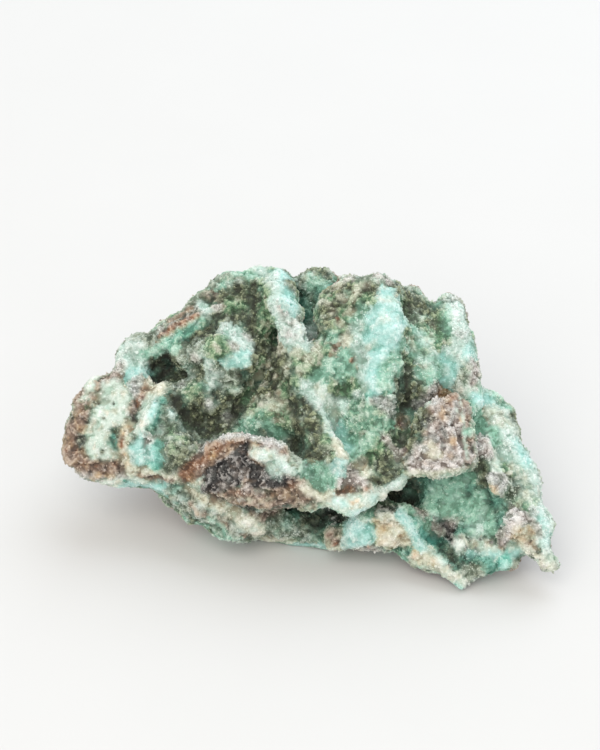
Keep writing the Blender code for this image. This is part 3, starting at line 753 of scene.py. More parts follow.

# Low rim, slot and spurs on the right; painted shade lies in the slot
LOW_RIM = (
    band(Crust.MINT, (458, 543, 5), (468, 543, 5), (482, 545, 5), (494, 548, 4), (457, 552, 4)),
    dots(Crust.CREAM, (463, 540, 2), (474, 545, 2), (488, 545, 2), strength=0.8),
    dots(Crust.SLATE, (461, 538, 1), (469, 541, 1.2), (480, 539, 1), (466, 547, 1), (491, 543, 1),
         (476, 549, 1), soft=0.25),
    dots(Crust.MINT, (462, 545, 3), (484, 552, 3), (512, 548, 4), (522, 552, 4), strength=0.8),
    band(Crust.CYAN, (470, 555, 3), (488, 556, 3), (506, 554, 3), (518, 553, 3)),
    band(Crust.CREAM, (528, 551, 4), (535, 556, 5), (541, 562, 5), (546, 567, 4)),
    dots(Crust.MINT, (531, 551, 2), (537, 560, 2), (545, 562, 2.5)),
    dots(Crust.SLATE, (532, 555, 1), (537, 553, 1), (544, 566, 1), soft=0.25),
    dots(Crust.SLATE, (540, 560, 1.3), (447, 569, 1.3), (452, 575, 1.3), (458, 577, 1.3),
         (464, 584, 1.2), soft=0.25),
    band(Crust.TEAL, (440, 546, 4), (449, 552, 5), (456, 562, 4)),
    # Painted shade in the slot
    band(Crust.PAINTED_SHADE, (445, 550, 3), (452, 557, 3), soft=0.3, strength=0.8),
    band(Crust.TEAL, (468, 560, 4), (478, 557, 4), (490, 562, 4), (492, 571, 4)),
    band(Crust.SEA, (505, 556, 4), (502, 563, 5), (497, 571, 4), (488, 577, 4)),
    band(Crust.FOG, (468, 568, 5), (479, 574, 5), (466, 576, 5)),
    band(Crust.MINT, (446, 569, 5), (452, 575, 5), (459, 580, 6), (464, 584, 4)),
    dots(Crust.CREAM, (450, 572, 2.5), (458, 577, 3), (463, 582, 2), strength=0.7),
    band(Crust.SEA, (454, 585, 3), (461, 588, 3), strength=0.7),
    band(Crust.CREAM, (428, 553, 4), (437, 560, 4), (445, 568, 3)),
    band(Crust.CYAN, (424, 549, 3), (434, 556, 3), (443, 563, 3), strength=0.6),
    band(Crust.TEAL, (422, 530, 5), (430, 537, 5), (438, 541, 4), (446, 549, 5), (454, 557, 5)),
    # Painted shade deep in the slot
    band(Crust.PAINTED_SHADE, (441, 545, 4), (448, 551, 6), (455, 559, 5), soft=0.5),
    band(Crust.TEAL, (438, 542, 3), (445, 548, 3), (453, 556, 3), (459, 563, 3), soft=0.4, strength=0.4),
    # More painted shade in the slot
    band(Crust.PAINTED_SHADE, (447, 552, 4), (454, 559, 4), (460, 565, 3), soft=0.4, strength=0.7),
    band(Crust.TEAL, (487, 560, 4), (493, 566, 4), (490, 572, 3), soft=0.5),
    band(Crust.CREAM, (412, 557, 4), (425, 558, 4), (436, 564, 3)),
    dots(Crust.TAN, (415, 556, 2), (434, 561, 2)),
    band(Crust.TEAL, (408, 553, 3), (404, 547, 2), soft=0.3),
)

# Low front under the ledge, with painted shade in the hollow there
LOW_FRONT = (
    band(Crust.CYAN, (350, 520, 8), (358, 513, 6), (352, 533, 9), (364, 529, 6), (364, 543, 6),
         (350, 546, 4)),
    band(Crust.TURQUOISE, (366, 512, 5), (342, 513, 4)),
    band(Crust.CYAN, (401, 514, 4), (407, 522, 5), (416, 535, 3), (421, 545, 3)),
    band(Crust.SEA, (415, 521, 3), (423, 532, 4), (431, 541, 4), strength=0.8),
    band(Crust.GLASS, (404, 506, 4), (413, 511, 5), (420, 520, 4), (427, 530, 4), strength=0.7),
    band(Crust.CREAM, (390, 522, 5), (396, 531, 6), (386, 541, 6), (404, 542, 6)),
    dots(Crust.TAN, (383, 530, 3), (390, 526, 2), (382, 541, 2.5), (400, 536, 2), (394, 544, 1.5),
         strength=0.8),
    band(Crust.SLATE, (383, 508, 4), (391, 508, 4), strength=0.6),
    band(Crust.LILAC, (375, 552, 4), (368, 547, 3), strength=0.7),
    band(Crust.MATRIX, (331, 535, 5), (336, 544, 4)),
    dots(Crust.RUST, (336, 545, 2.5), (368, 546, 2.5), soft=0.3),
    band(Crust.CREAM, (336, 550, 2.5), soft=0.3),
    band(Crust.FOG, (272, 522, 8), (288, 520, 8), (286, 534, 7), (302, 534, 7)),
    band(Crust.TEAL, (293, 514, 5), (285, 524, 5), strength=0.5),
    # Painted shade in the hollow under the ledge
    band(Crust.PAINTED_SHADE, (308, 513, 5), (316, 526, 5), (324, 516, 5), (304, 522, 4), strength=0.9),
    band(Crust.SLATE, (330, 512, 5), (339, 520, 4), strength=0.7),
    band(Crust.CYAN, (296, 544, 2.5), (320, 546, 2.5), soft=0.3),
)

# Pale band and low west side
LOW_WEST = (
    band(Crust.FOG, (178, 500, 10), (200, 515, 12), (228, 530, 12), (255, 540, 8)),
    band(Crust.FOG, (172, 492, 7), (186, 497, 7), (172, 505, 5), (192, 510, 6), (205, 516, 5)),
    dots(Crust.TEAL, (175, 488, 4), (171, 512, 2), (210, 511, 3), (247, 543, 3), strength=0.8),
    band(Crust.CREAM, (192, 490, 3), (204, 500, 4), (220, 507, 5), (236, 515, 6), (248, 525, 7),
         (258, 533, 7)),
    band(Crust.MINT, (226, 510, 3), (243, 520, 4), (252, 530, 4), strength=0.8),
    dots(Crust.FROST, (182, 500, 4), (198, 508, 4), (213, 512, 3), (232, 526, 4), (241, 533, 3),
         strength=0.7),
    band(Crust.MATRIX, (219, 519, 3.5), (227, 524, 3), (245, 536, 3), (191, 505, 3)),
    band(Crust.TURQUOISE, (213, 521, 4), (226, 533, 4), (238, 540, 3)),
    band(Crust.CREAM, (266, 540, 4), (282, 540, 4), strength=0.8),
)

# Outcrop: black crystalline face, rust side, druse cap, brown base, mint blob
OUTCROP = (
    band(Crust.MATRIX, (188, 474, 9), (205, 470, 14), (228, 462, 18), (255, 470, 18), (280, 480, 12),
         (300, 486, 6)),
    band(Crust.MATRIX, (208, 448, 9), (228, 440, 8), (250, 440, 8), (270, 446, 7), (284, 452, 5)),
    band(Crust.SLATE, (246, 447, 5), (226, 467, 9), (209, 477, 8), (216, 487, 7), (236, 478, 9),
         (240, 460, 9), (251, 470, 8), (262, 475, 8), (276, 480, 8), (289, 481, 6), (205, 489, 5),
         soft=0.35),
    band(Crust.RUST, (186, 476, 7), (190, 468, 6), (200, 460, 7), (208, 453, 7), (218, 447, 6),
         (228, 440, 5), (240, 439, 4), soft=0.4, strength=0.8),
    dots(Crust.TAN, (191, 479, 3), (212, 455, 3), (256, 443, 3), (230, 438, 3), strength=0.8),
    dots(Crust.LILAC, (238, 463, 2.5), (235, 474, 2.5), (228, 458, 2), (243, 472, 1.5), (262, 474, 1.5),
         strength=0.8),
    band(Crust.MINT, (193, 487, 1.5), (198, 481, 1.5), (204, 477, 1), soft=0.3),
    band(Crust.DRUSE, (203, 451, 3), (212, 443, 4), (224, 438, 4), (238, 435, 3), (254, 436, 4),
         (266, 440, 5), (277, 446, 5), soft=0.5),
    band(Crust.LILAC, (266, 444, 5), (276, 451, 4), (281, 457, 3)),
    band(Crust.MINT, (254, 451, 4), (262, 454, 6), (271, 457, 7), (280, 461, 5), (273, 467, 6),
         (262, 461, 3)),
    band(Crust.FROST, (276, 473, 5), (286, 469, 5), (270, 470, 3)),
    band(Crust.CYAN, (262, 457, 3), (271, 461, 4), (279, 466, 3), strength=0.4),
    band(Crust.FOG, (288, 449, 5), (295, 458, 5)),
    band(Crust.MATRIX, (214, 497, 3.5), (230, 494, 4), (246, 493, 4.5), (258, 497, 4), (272, 496, 4),
         (286, 493, 4), (300, 492, 4)),
    dots(Crust.RUST, (236, 492, 3), (292, 484, 3), (280, 493, 2), strength=0.8),
    dots(Crust.LILAC, (246, 489, 2.5), (258, 494, 2.5), (240, 503, 3), strength=0.7),
    band(Crust.MATRIX, (236, 503, 4), (252, 506, 6), (272, 505, 6), (292, 501, 4), (314, 497, 3),
         (262, 515, 5), (275, 511, 4)),
    band(Crust.SLATE, (248, 508, 3), (266, 514, 3), (285, 504, 3), strength=0.5),
)

# Ledge rim
LEDGE_RIM = (
    band(Crust.CREAM, (303, 487, 3), (314, 493, 3), (326, 497, 3)),
    band(Crust.MINT, (333, 502, 5), (348, 501, 6), (364, 497, 5), (380, 494, 4), (391, 491, 4),
         (345, 508, 3)),
    dots(Crust.CYAN, (335, 502, 3), (344, 504, 3), (373, 497, 3), strength=0.8),
    dots(Crust.TAN, (357, 500, 2), (352, 503, 1.5), soft=0.3),
    dots(Crust.RUST, (343, 491, 3), (348, 486, 3), (366, 488, 2.5)),
    band(Crust.LILAC, (352, 479, 4), (362, 482, 4), (341, 482, 3)),
    band(Crust.CREAM, (364, 466, 2.5), (367, 475, 2.5), soft=0.3),
    band(Crust.FROST, (398, 482, 3), (391, 488, 3)),
)

# A mark lies over those before it
MARKS = (
    LEFT_END + BEAD + CAVE + PLATE + WEST_CROWN + FIRST_FINGER + SECOND_FINGER + KNOB + BOWL
    + MIDDLE_SLOPE + MIDDLE_RIB + BROAD_RIDGE + BACK_RIDGES + BLOCK + RIGHT_LOBE + SCOOP + LOW_RIM
    + LOW_FRONT + LOW_WEST + OUTCROP + LEDGE_RIM
)


@dataclass
class Painter:
    """Says which crust covers each place on the stone, whose surface is in millimetres.

    Sizes, bend and reach are in millimetres too.
    """

    stone: BVHTree
    sight: Sight
    broad_size: float = 11.0
    drift_size: float = 4.0
    speck_size: float = 1.3
    drift_wobble: float = 0.45
    speck_wobble: float = 0.9
    spread_bend: float = 1.2
    reach: float = 2.6
    reach_share: float = 0.6
    freckle_size: float = 1.5
    freckle_rise: Span = (0.15, 0.45)
    freckle_share: float = 0.65
    freckle_shifts: Span = (63.0, 91.0)

    def __post_init__(self) -> None:
        """Casts the marks onto the stone and gets ready to find the nearest spot."""
        self.runs = [mark.lay(self.stone, self.sight) for mark in MARKS]
        self.spots = np.vstack(self.runs)
        kinds = [CRUSTS.index(mark.crust) for mark in MARKS]
        self.kinds = np.repeat(kinds, [len(run) for run in self.runs])
        self.near = KDTree(len(self.spots))
        for index, spot in enumerate(self.spots):
            self.near.insert(spot[:3], index)
        self.near.balance()

    def cover(self, points: Array, normals: Array) -> Array:
        """Shares each point out among the crusts.

        Args:
            points: Places in millimetres, one a row.
            normals: The surface's outward directions, one a row.

        Returns:
            One row a point and one column a crust, each row adding up to 1.
        """
        broad = cloudy(points, self.broad_size, shift=5.9, octaves=2)
        drift = cloudy(points, self.drift_size, shift=3.1)
        speck = cloudy(points, self.speck_size, shift=11.7)
        shares = self._ground(normals, broad, drift, speck)
        self._spread(shares, points, drift, speck)
        wobble = self.drift_wobble * drift + self.speck_wobble * speck
        for mark, run in zip(MARKS, self.runs):
            near, laid = mark.cover(run, points, wobble)
            shares[near] *= 1.0 - laid[:, None]
            shares[near, CRUSTS.index(mark.crust)] += laid
        return self._freckle(shares, points)

    def _ground(self, normals: Array, broad: Array, drift: Array, speck: Array) -> Array:
        """Lays the crusts that cover what no mark does.

        Args:
            normals: The surface's outward directions, one a row.
            broad: Very broad noise at each point.
            drift: Broad noise at each point.
            speck: Finer noise at each point.

        Returns:
            One row a point and one column a crust, each row adding up to 1.
        """
        hidden = -normals @ np.array(self.sight.back)
        shares = np.zeros((len(normals), len(CRUSTS)))
        shares[:, CRUSTS.index(BARE)] = 1.0
        for layer in GROUND:
            total = layer.hidden * hidden + layer.drift * drift + layer.broad * broad + layer.speck * speck
            laid = layer.strength * ramp(total, layer.low, layer.high)
            shares *= 1.0 - laid[:, None]
            shares[:, CRUSTS.index(layer.crust)] += laid
        return shares

    def _spread(self, shares: Array, points: Array, drift: Array, speck: Array) -> None:
        """Spreads each mark's crust over the bare ground round it.

        Args:
            shares: One row a point and one column a crust, which is changed.
            points: Places in millimetres, one a row.
            drift: Broad noise at each point.
            speck: Finer noise at each point.
        """
        bent = points + np.column_stack([drift, speck, -drift]) * self.spread_bend
        found = np.array([self.near.find(place)[1:] for place in bent.tolist()])
        index, gap = found[:, 0].astype(int), found[:, 1]
        laid = self.reach_share * ramp(self.spots[index, 3] - gap, -self.reach, -self.reach / 4)
        shares *= 1.0 - laid[:, None]
        shares[np.arange(len(shares)), self.kinds[index]] += laid

    def _freckle(self, shares: Array, points: Array) -> Array:
        """Scatters small flecks of other crusts in each crust.

        Args:
            shares: One row a point and one column a crust.
            points: Places in millimetres, one a row.

        Returns:
            The shares with the flecks in them.
        """
        mixed = shares.copy()
        clouds = [cloudy(points, self.freckle_size, shift) for shift in self.freckle_shifts]
        flecks = [self.freckle_share * ramp(cloud, *self.freckle_rise) for cloud in clouds]
        for base, others in FRECKLES.items():
            column = CRUSTS.index(base)
            for other, fleck in zip(others, flecks):
                laid = base.value.freckles * fleck * shares[:, column]
                mixed[:, column] -= laid
                mixed[:, CRUSTS.index(other)] += laid
        return mixed

    @staticmethod
    def blend(shares: Array, name: str) -> Array:
        """Mixes one value of the finishes by the crusts' shares.

        Args:
            shares: One row a point and one column a crust.
            name: The finish's field.

        Returns:
            The mixed number at each point, or a row of linear light for a colour.
        """
        values = [getattr(crust.value, name) for crust in CRUSTS]
        return shares @ (linear(values) if isinstance(values[0], tuple) else np.array(values))


def read(mesh: bpy.types.Mesh) -> tuple[Array, Array]:
    """Reads a mesh's points and their normals.

    Args:
        mesh: The mesh to read.

    Returns:
        Points in millimetres and outward directions, one a row.
    """
    points = np.empty(len(mesh.vertices) * 3)
    mesh.vertices.foreach_get("co", points)
    normals = np.empty(len(mesh.vertices) * 3)
    mesh.vertex_normals.foreach_get("vector", normals)
    return points.reshape(-1, 3) / MM, normals.reshape(-1, 3)


def paint(mesh: bpy.types.Mesh, name: str, colour: Array, extra: Array | float = 1.0) -> None:
    """Stores a colour and one more number at each point of a mesh.

    Args:
        mesh: The mesh to paint.
        name: The attribute's name.
        colour: Linear light, one row a point.
        extra: The number kept in the alpha channel.
    """
    alpha = np.broadcast_to(extra, len(colour))
    layer = mesh.color_attributes.new(name, "FLOAT_COLOR", "POINT")
    layer.data.foreach_set("color", np.column_stack([colour, alpha]).ravel())


def place(name: str, mesh: bpy.types.Mesh) -> bpy.types.Object:
    """Puts a mesh in the scene as a piece of the stone.

    Args:
        name: The piece's name.
        mesh: Its mesh, with its place in its points.

    Returns:
        The new object, at the origin.
    """
    piece = bpy.data.objects.new(name, mesh)
    bpy.context.scene.collection.objects.link(piece)
    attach(piece, BODY)
    return piece


def baked(mesh: bpy.types.Mesh, *modifiers: tuple[str, dict[str, object]]) -> bpy.types.Mesh:
    """Applies modifiers to a mesh.

    Args:
        mesh: The mesh to change, which is removed.
        modifiers: Each modifier's type and settings, in order.

    Returns:
        The changed mesh.
    """
    helper = bpy.data.objects.new("helper", mesh)
    bpy.context.scene.collection.objects.link(helper)
    for kind, settings in modifiers:
        modifier = helper.modifiers.new(kind, kind)
        for name, value in settings.items():
            setattr(modifier, name, value)
    graph = bpy.context.evaluated_depsgraph_get()
    changed = bpy.data.meshes.new_from_object(helper.evaluated_get(graph))
    bpy.data.objects.remove(helper)
    bpy.data.meshes.remove(mesh)
    return changed


class Nodes:
    """A small helper for laying out one material's nodes."""

    mix_inputs: tuple[int, ...] = (0, 6, 7)
    mix_output: int = 2

    def __init__(self, name: str) -> None:
        """Starts a material with a Principled shader.

        Args:
            name: The material's name.
        """
        self.material = bpy.data.materials.new(name)
        self.material.use_nodes = True
        self.tree = self.material.node_tree
        self.shader = self.tree.nodes["Principled BSDF"]
        self.place = self.add("ShaderNodeTexCoord").outputs["Object"]

    def add(self, kind: str, **settings: object) -> bpy.types.Node:
        """Adds a node.

        Args:
            kind: Its type name.
            settings: Properties to set on it.

        Returns:
            The new node.
        """
        node = self.tree.nodes.new(kind)
        for name, value in settings.items():
            setattr(node, name, value)
        return node

    def join(self, source: object, socket: bpy.types.NodeSocket) -> None:
        """Feeds a socket from another socket, or sets it to a value.

        Args:
            source: An output socket, or a number or colour.
            socket: The input to feed.
        """
        if isinstance(source, bpy.types.NodeSocket):
            self.tree.links.new(source, socket)
        else:
            socket.default_value = source

    def feed(self, **sources: object) -> None:
        """Feeds the shader's inputs.

        Args:
            sources: A socket or a value for each input, named with underscores for its spaces.
        """
        for name, source in sources.items():
            self.join(source, self.shader.inputs[name.replace("_", " ")])

    def noise(self, size: float, detail: float = 2.0, rough: float = 0.5) -> bpy.types.NodeSocket:
        """Adds noise whose swells are about size millimetres wide.

        Args:
            size: Width of a swell in millimetres.
            detail: How many finer octaves it has.
            rough: How strong they are.

        Returns:
            The noise's factor socket.
        """
        node = self.add("ShaderNodeTexNoise")
        self.join(self.place, node.inputs["Vector"])
        node.inputs["Scale"].default_value = 1.0 / (size * MM)
        node.inputs["Detail"].default_value = detail
        node.inputs["Roughness"].default_value = rough
        return node.outputs["Fac"]

    def cells(self, size: float) -> bpy.types.NodeSocket:
        """Adds cells about size millimetres wide.

        Args:
            size: Width of a cell in millimetres.

        Returns:
            The socket with the distance to the nearest cell's middle.
        """
        node = self.add("ShaderNodeTexVoronoi")
        self.join(self.place, node.inputs["Vector"])
        node.inputs["Scale"].default_value = 1.0 / (size * MM)
        return node.outputs["Distance"]

    def attribute(self, name: str) -> tuple[bpy.types.NodeSocket, bpy.types.NodeSocket]:
        """Reads a painted attribute.

        Args:
            name: The attribute's name.

        Returns:
            Its colour socket and its alpha socket.
        """
        node = self.add("ShaderNodeAttribute", attribute_name=name)
        return node.outputs["Color"], node.outputs["Alpha"]

    def sums(self, operation: str, first: object, second: object) -> bpy.types.NodeSocket:
        """Works out a sum on two numbers.

        Args:
            operation: The Math node's operation.
            first: A socket or a number.
            second: A socket or a number.

        Returns:
            The result's socket.
        """
        node = self.add("ShaderNodeMath", operation=operation)
        self.join(first, node.inputs[0])
        self.join(second, node.inputs[1])
        return node.outputs[0]

    def total(self, *terms: tuple[bpy.types.NodeSocket, float]) -> bpy.types.NodeSocket:
        """Adds up sockets, each times its own weight.

        Args:
            terms: Each socket with its weight.

        Returns:
            The total's socket.
        """
        parts = [self.sums("MULTIPLY", source, weight) for source, weight in terms]
        whole = parts[0]
        for part in parts[1:]:
            whole = self.sums("ADD", whole, part)
        return whole

    def span(self, source: object, low: float, high: float, to_low: float = 0.0,
             to_high: float = 1.0) -> bpy.types.NodeSocket:
        """Maps a number smoothly from one range to another.

        Args:
            source: The socket to read.
            low: The value that gives to_low.
            high: The value that gives to_high.
            to_low: The start of the new range.
            to_high: The end of the new range.

        Returns:
            The result's socket.
        """
        node = self.add("ShaderNodeMapRange", interpolation_type="SMOOTHSTEP")
        for index, value in enumerate((source, low, high, to_low, to_high)):
            self.join(value, node.inputs[index])
        return node.outputs[0]

    def mix(self, share: object, first: object, second: object) -> bpy.types.NodeSocket:
        """Mixes two colours.

        Args:
            share: How much of the second colour shows.
            first: A colour socket or value.
            second: A colour socket or value.

        Returns:
            The mixed colour's socket.
        """
        node = self.add("ShaderNodeMix", data_type="RGBA")
        for index, value in zip(self.mix_inputs, (share, first, second)):
            self.join(value, node.inputs[index])
        return node.outputs[self.mix_output]

    def toned(self, colour: bpy.types.NodeSocket, tone: bpy.types.NodeSocket) -> bpy.types.NodeSocket:
        """Makes a colour lighter or darker.

        Args:
            colour: The colour's socket.
            tone: The number that it is multiplied by.

        Returns:
            The changed colour's socket.
        """
        node = self.add("ShaderNodeVectorMath", operation="SCALE")
        self.join(colour, node.inputs[0])
        self.join(tone, node.inputs["Scale"])
        return node.outputs[0]

    def scatter(self, weight: float, depth: float) -> None:
        """Lets light a little way into the shader's surface.

        Args:
            weight: How much of the light goes in.
            depth: How far it goes, in millimetres.
        """
        self.feed(Subsurface_Weight=weight, Subsurface_Radius=(1.0, 1.0, 1.0),
                  Subsurface_Scale=depth * MM)

    def bump(self, height: bpy.types.NodeSocket, distance: float, strength: float) -> None:
        """Roughens the shader's normal.

        Args:
            height: The height's socket.
            distance: How tall a height of 1 is, in millimetres.
            strength: How much of it shows.
        """
        node = self.add("ShaderNodeBump")
        node.inputs["Strength"].default_value = strength
        node.inputs["Distance"].default_value = distance * MM
        self.join(height, node.inputs["Height"])
        self.feed(Normal=node.outputs["Normal"])


FINE_RANGE = (0.3, 0.7)


@dataclass(frozen=True)
class CrustMaterial:
    """The skin's material: ground, flecks and shaded hollows from the painted layers.

    Sizes, depths and heights are in millimetres.
    """

    coarse_size: float = 2.4
    fine_size: float = 0.6
    cell_size: float = 0.55
    pale_share: float = 0.85
    hollow_shade_share: float = 0.75
    scatter: float = 0.25
    scatter_depth: float = 0.9
    bump_height: float = 0.16
    bump_strength: float = 0.7

    def make(self) -> bpy.types.Material:
        """Builds the material."""
        nodes = Nodes("crusted_stone_skin")
        ground, relief = nodes.attribute("ground")
        fleck, roughness = nodes.attribute("fleck")
        shade, _ = nodes.attribute("shade")
        coarse = nodes.noise(self.coarse_size, detail=4.0, rough=0.6)
        fine = nodes.noise(self.fine_size, detail=4.0, rough=0.7)
        sugar = nodes.span(nodes.cells(self.cell_size), low=0.1, high=0.7, to_low=1.0, to_high=0.0)
        height = nodes.total((sugar, 0.45), (fine, 1.0))
        tops = nodes.total((relief, 0.65), (coarse, 0.8), (height, 0.3))
        deep = nodes.total((relief, 0.8), (fine, 0.35), (coarse, 0.4))
        # Pale flecks rise on tops, partly as painted highlight, and the shade colour goes in as painted
        # shade where the relief is low
        pale = nodes.span(tops, low=0.9, high=1.4, to_high=self.pale_share)
        hollow_shade = nodes.span(deep, low=0.5, high=0.85, to_low=self.hollow_shade_share, to_high=0.0)
        colour = nodes.mix(hollow_shade, nodes.mix(pale, ground, fleck), shade)
        tone = nodes.span(fine, *FINE_RANGE, to_low=0.9, to_high=1.06)
        wear = nodes.span(fine, *FINE_RANGE, to_low=-0.12, to_high=0.1)
        nodes.feed(Base_Color=nodes.toned(colour, tone), Roughness=nodes.sums("ADD", roughness, wear))
        nodes.scatter(self.scatter, self.scatter_depth)
        nodes.bump(height, self.bump_height, self.bump_strength)
        return nodes.material


@dataclass(frozen=True)
class GrainMaterial:
    """The material of one kind of grain, which takes its colour from the grain's own tone.

    Sizes, depths and heights are in millimetres.
    """

    name: str
    roughness: float = 0.55
    wear: float = 0.1
    scatter: float = 0.2
    scatter_depth: float = 0.6
    clear: float = 0.0
    speckle: float = 0.35
    bend: float = 1.54
    bump_height: float = 0.06
    bump_strength: float = 0.5

    def make(self) -> bpy.types.Material:
        """Builds the material."""
        nodes = Nodes(self.name)
        tone, _ = nodes.attribute("tone")
        fine = nodes.noise(self.speckle, rough=0.6)
        lighter = nodes.span(fine, *FINE_RANGE, to_low=0.92, to_high=1.06)
        worn = nodes.span(fine, *FINE_RANGE, self.roughness - self.wear, self.roughness + self.wear)
        nodes.feed(Base_Color=nodes.toned(tone, lighter), Roughness=worn, IOR=self.bend,
                   Transmission_Weight=self.clear)
        nodes.scatter(self.scatter, self.scatter_depth)
        nodes.bump(fine, self.bump_height, self.bump_strength)
        return nodes.material


@dataclass
class Skin:
    """The stone's own surface, made fine and rough in place of the plain solid.

    Sizes are in millimetres. The relief fades out between still_below and still_above, so that the
    base stays flat.
    """

    sight: Sight
    weld: float = 0.001
    grain: float = 0.3
    wear: int = 8
    warp_size: float = 1.7
    warp_shifts: tuple[float, float, float] = (31.0, 57.0, 83.0)
    cobble_warp: float = 0.8
    facet_warp: float = 0.25
    face_warp: float = 0.6
    lump_size: float = 1.45
    grit_size: float = 0.75
    facet_size: float = 0.9
    face_size: float = 3.2
    swell_size: float = 3.4
    swell: float = 0.25
    still_below: float = 0.4
    still_above: float = 1.6
    near_passes: int = 8
    far_passes: int = 40
    near_gain: float = 1.4
    far_gain: float = 0.6
    triangles: int = 196000

    def build(self, node: bpy.types.Object) -> None:
        """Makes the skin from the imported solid, which is left as it is.

        Args:
            node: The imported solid.
        """
        form = bmesh.new()
        form.from_mesh(node.data)
        bmesh.ops.remove_doubles(form, verts=form.verts, dist=self.weld * MM)
        solid = bpy.data.meshes.new("solid")
        form.to_mesh(solid)
        bmesh.ops.scale(form, vec=(1.0 / MM,) * 3, verts=form.verts)
        self.painter = Painter(BVHTree.FromBMesh(form), self.sight)
        form.free()
        mesh = baked(
            solid,
            ("REMESH", {"mode": "VOXEL", "voxel_size": self.grain * MM}),
            ("SMOOTH", {"factor": 0.5, "iterations": self.wear}),
        )
        self._work(mesh)
        # The remeshed skin's faces have four sides, so each gives two triangles
        ratio = self.triangles / (2 * len(mesh.polygons))
        mesh = baked(mesh, ("TRIANGULATE", {}), ("DECIMATE", {"ratio": ratio}))
        mesh.name = "stone_skin"
        mesh.shade_smooth()
        self.skin = place("stone_skin", mesh)
        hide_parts(NODE)

    def _work(self, mesh: bpy.types.Mesh) -> None:
        """Raises lumps, grit and facets on the skin and paints it.

        Args:
            mesh: The fine mesh.
        """
        points, normals = read(mesh)
        self.shares = self.painter.cover(points, normals)
        height = self._height(points) * ramp(points[:, 2], self.still_below, self.still_above)
        moved = points + height[:, None] * normals
        moved[:, 2] = np.maximum(moved[:, 2], 0.0)
        mesh.vertices.foreach_set("co", (moved * MM).ravel())
        mesh.update()
        self.points, self.normals = read(mesh)
        self.relief = self._relief(mesh)
        # The relief goes with the ground colour, so that the material lays pale flecks on tops, partly as
        # painted highlight, and painted shade in hollows
        paint(mesh, "ground", self.blend("ground"), self.relief)
        paint(mesh, "fleck", self.blend("fleck"), self.blend("roughness"))
        paint(mesh, "shade", self.blend("shade"))

    def blend(self, name: str) -> Array:
        """Mixes one value of the finishes at each of the skin's points."""
        return self.painter.blend(self.shares, name)

    def _height(self, points: Array) -> Array:
        """Works out the relief that each crust gives the skin.

        Args:
            points: The fine mesh's points in millimetres, one a row.

        Returns:
            A height in millimetres for each point.
        """
        warp = np.column_stack([cloudy(points, self.warp_size, shift, 2) for shift in self.warp_shifts])
        bent = points + self.cobble_warp * warp
        lumps = cobbled(bent, self.lump_size, top=0.5, fall=1.5, shift=2.3)
        grit = cobbled(bent, self.grit_size, top=0.45, fall=1.3, shift=7.7)
        facets = chipped(points + self.facet_warp * warp, self.facet_size, shift=4.1)
        faces = chipped(points + self.face_warp * warp, self.face_size, shift=9.3)
        return (
            self.blend("lumps") * lumps
            + self.blend("grit") * grit
            + self.blend("facets") * facets
            + self.blend("faces") * faces
            + self.swell * cloudy(points, self.swell_size, shift=21.0)
        )

    def _relief(self, mesh: bpy.types.Mesh) -> Array:
        """Measures how far each point stands out of the worn surface round it.

        Args:
            mesh: The fine mesh.

        Returns:
            About 0 in hollows, 0.5 on even ground and 1 on tops.
        """
        edges = np.empty(len(mesh.edges) * 2, dtype=np.int64)
        mesh.edges.foreach_get("vertices", edges)
        first, second = edges.reshape(-1, 2).T
        count = np.bincount(edges, minlength=len(self.points)).astype(float)
        soft = self.points.copy()
        stands = []
        for passes in range(1, self.far_passes + 1):
            total = np.column_stack([
                np.bincount(first, soft[second, axis], len(soft))
                + np.bincount(second, soft[first, axis], len(soft))
                for axis in range(3)
            ])
            soft = total / count[:, None]
            if passes in (self.near_passes, self.far_passes):
                stands.append(np.sum((self.points - soft) * self.normals, axis=1))
        near, far = stands
        return np.clip(0.5 + self.near_gain * near + self.far_gain * far, 0.0, 1.0)

    def dress(self) -> None:
        """Gives the skin its material."""
        self.skin.data.materials.clear()
        self.skin.data.materials.append(CrustMaterial().make())


def nub_shape() -> bmesh.types.BMesh:
    """A rounded grain, 1 unit in radius."""
    form = bmesh.new()
    bmesh.ops.create_icosphere(form, subdivisions=1, radius=1.0)
    return form


def poked(form: bmesh.types.BMesh, face: bmesh.types.BMFace, rise: float) -> None:
    """Draws a face's middle out to a tip.

    Args:
        form: The shape.
        face: The face.
        rise: How far up the tip goes.
    """
    tip = bmesh.ops.poke(form, faces=[face])["verts"]
    bmesh.ops.translate(form, verts=tip, vec=(0.0, 0.0, rise))


def face_height(face: bmesh.types.BMFace) -> float:
    """How high a face's middle lies."""
    return face.calc_center_median().z


def sugar_shape() -> bmesh.types.BMesh:
    """An eight-faced grain, 1 unit in radius."""
    form = bmesh.new()
    bmesh.ops.create_cone(form, cap_ends=True, segments=4, radius1=1.0, radius2=0.0, depth=1.0)
    bmesh.ops.translate(form, verts=form.verts, vec=(0.0, 0.0, 0.5))
    poked(form, min(form.faces, key=face_height), -1.0)
    return form


def point_shape() -> bmesh.types.BMesh:
    """A six-sided crystal that ends in a point, 1 unit in radius and 2.8 tall."""
    form = bmesh.new()
    bmesh.ops.create_cone(form, cap_ends=True, segments=6, radius1=0.8, radius2=1.0, depth=1.6)
    poked(form, max(form.faces, key=face_height), 1.2)
    bmesh.ops.triangulate(form, faces=form.faces)
    return form


def crumb_shape() -> bmesh.types.BMesh:
    """An angular crumb of rock, 1.5 units wide."""
    form = bmesh.new()
    bmesh.ops.create_cube(form, size=1.5)
    bmesh.ops.triangulate(form, faces=form.faces)
    return form


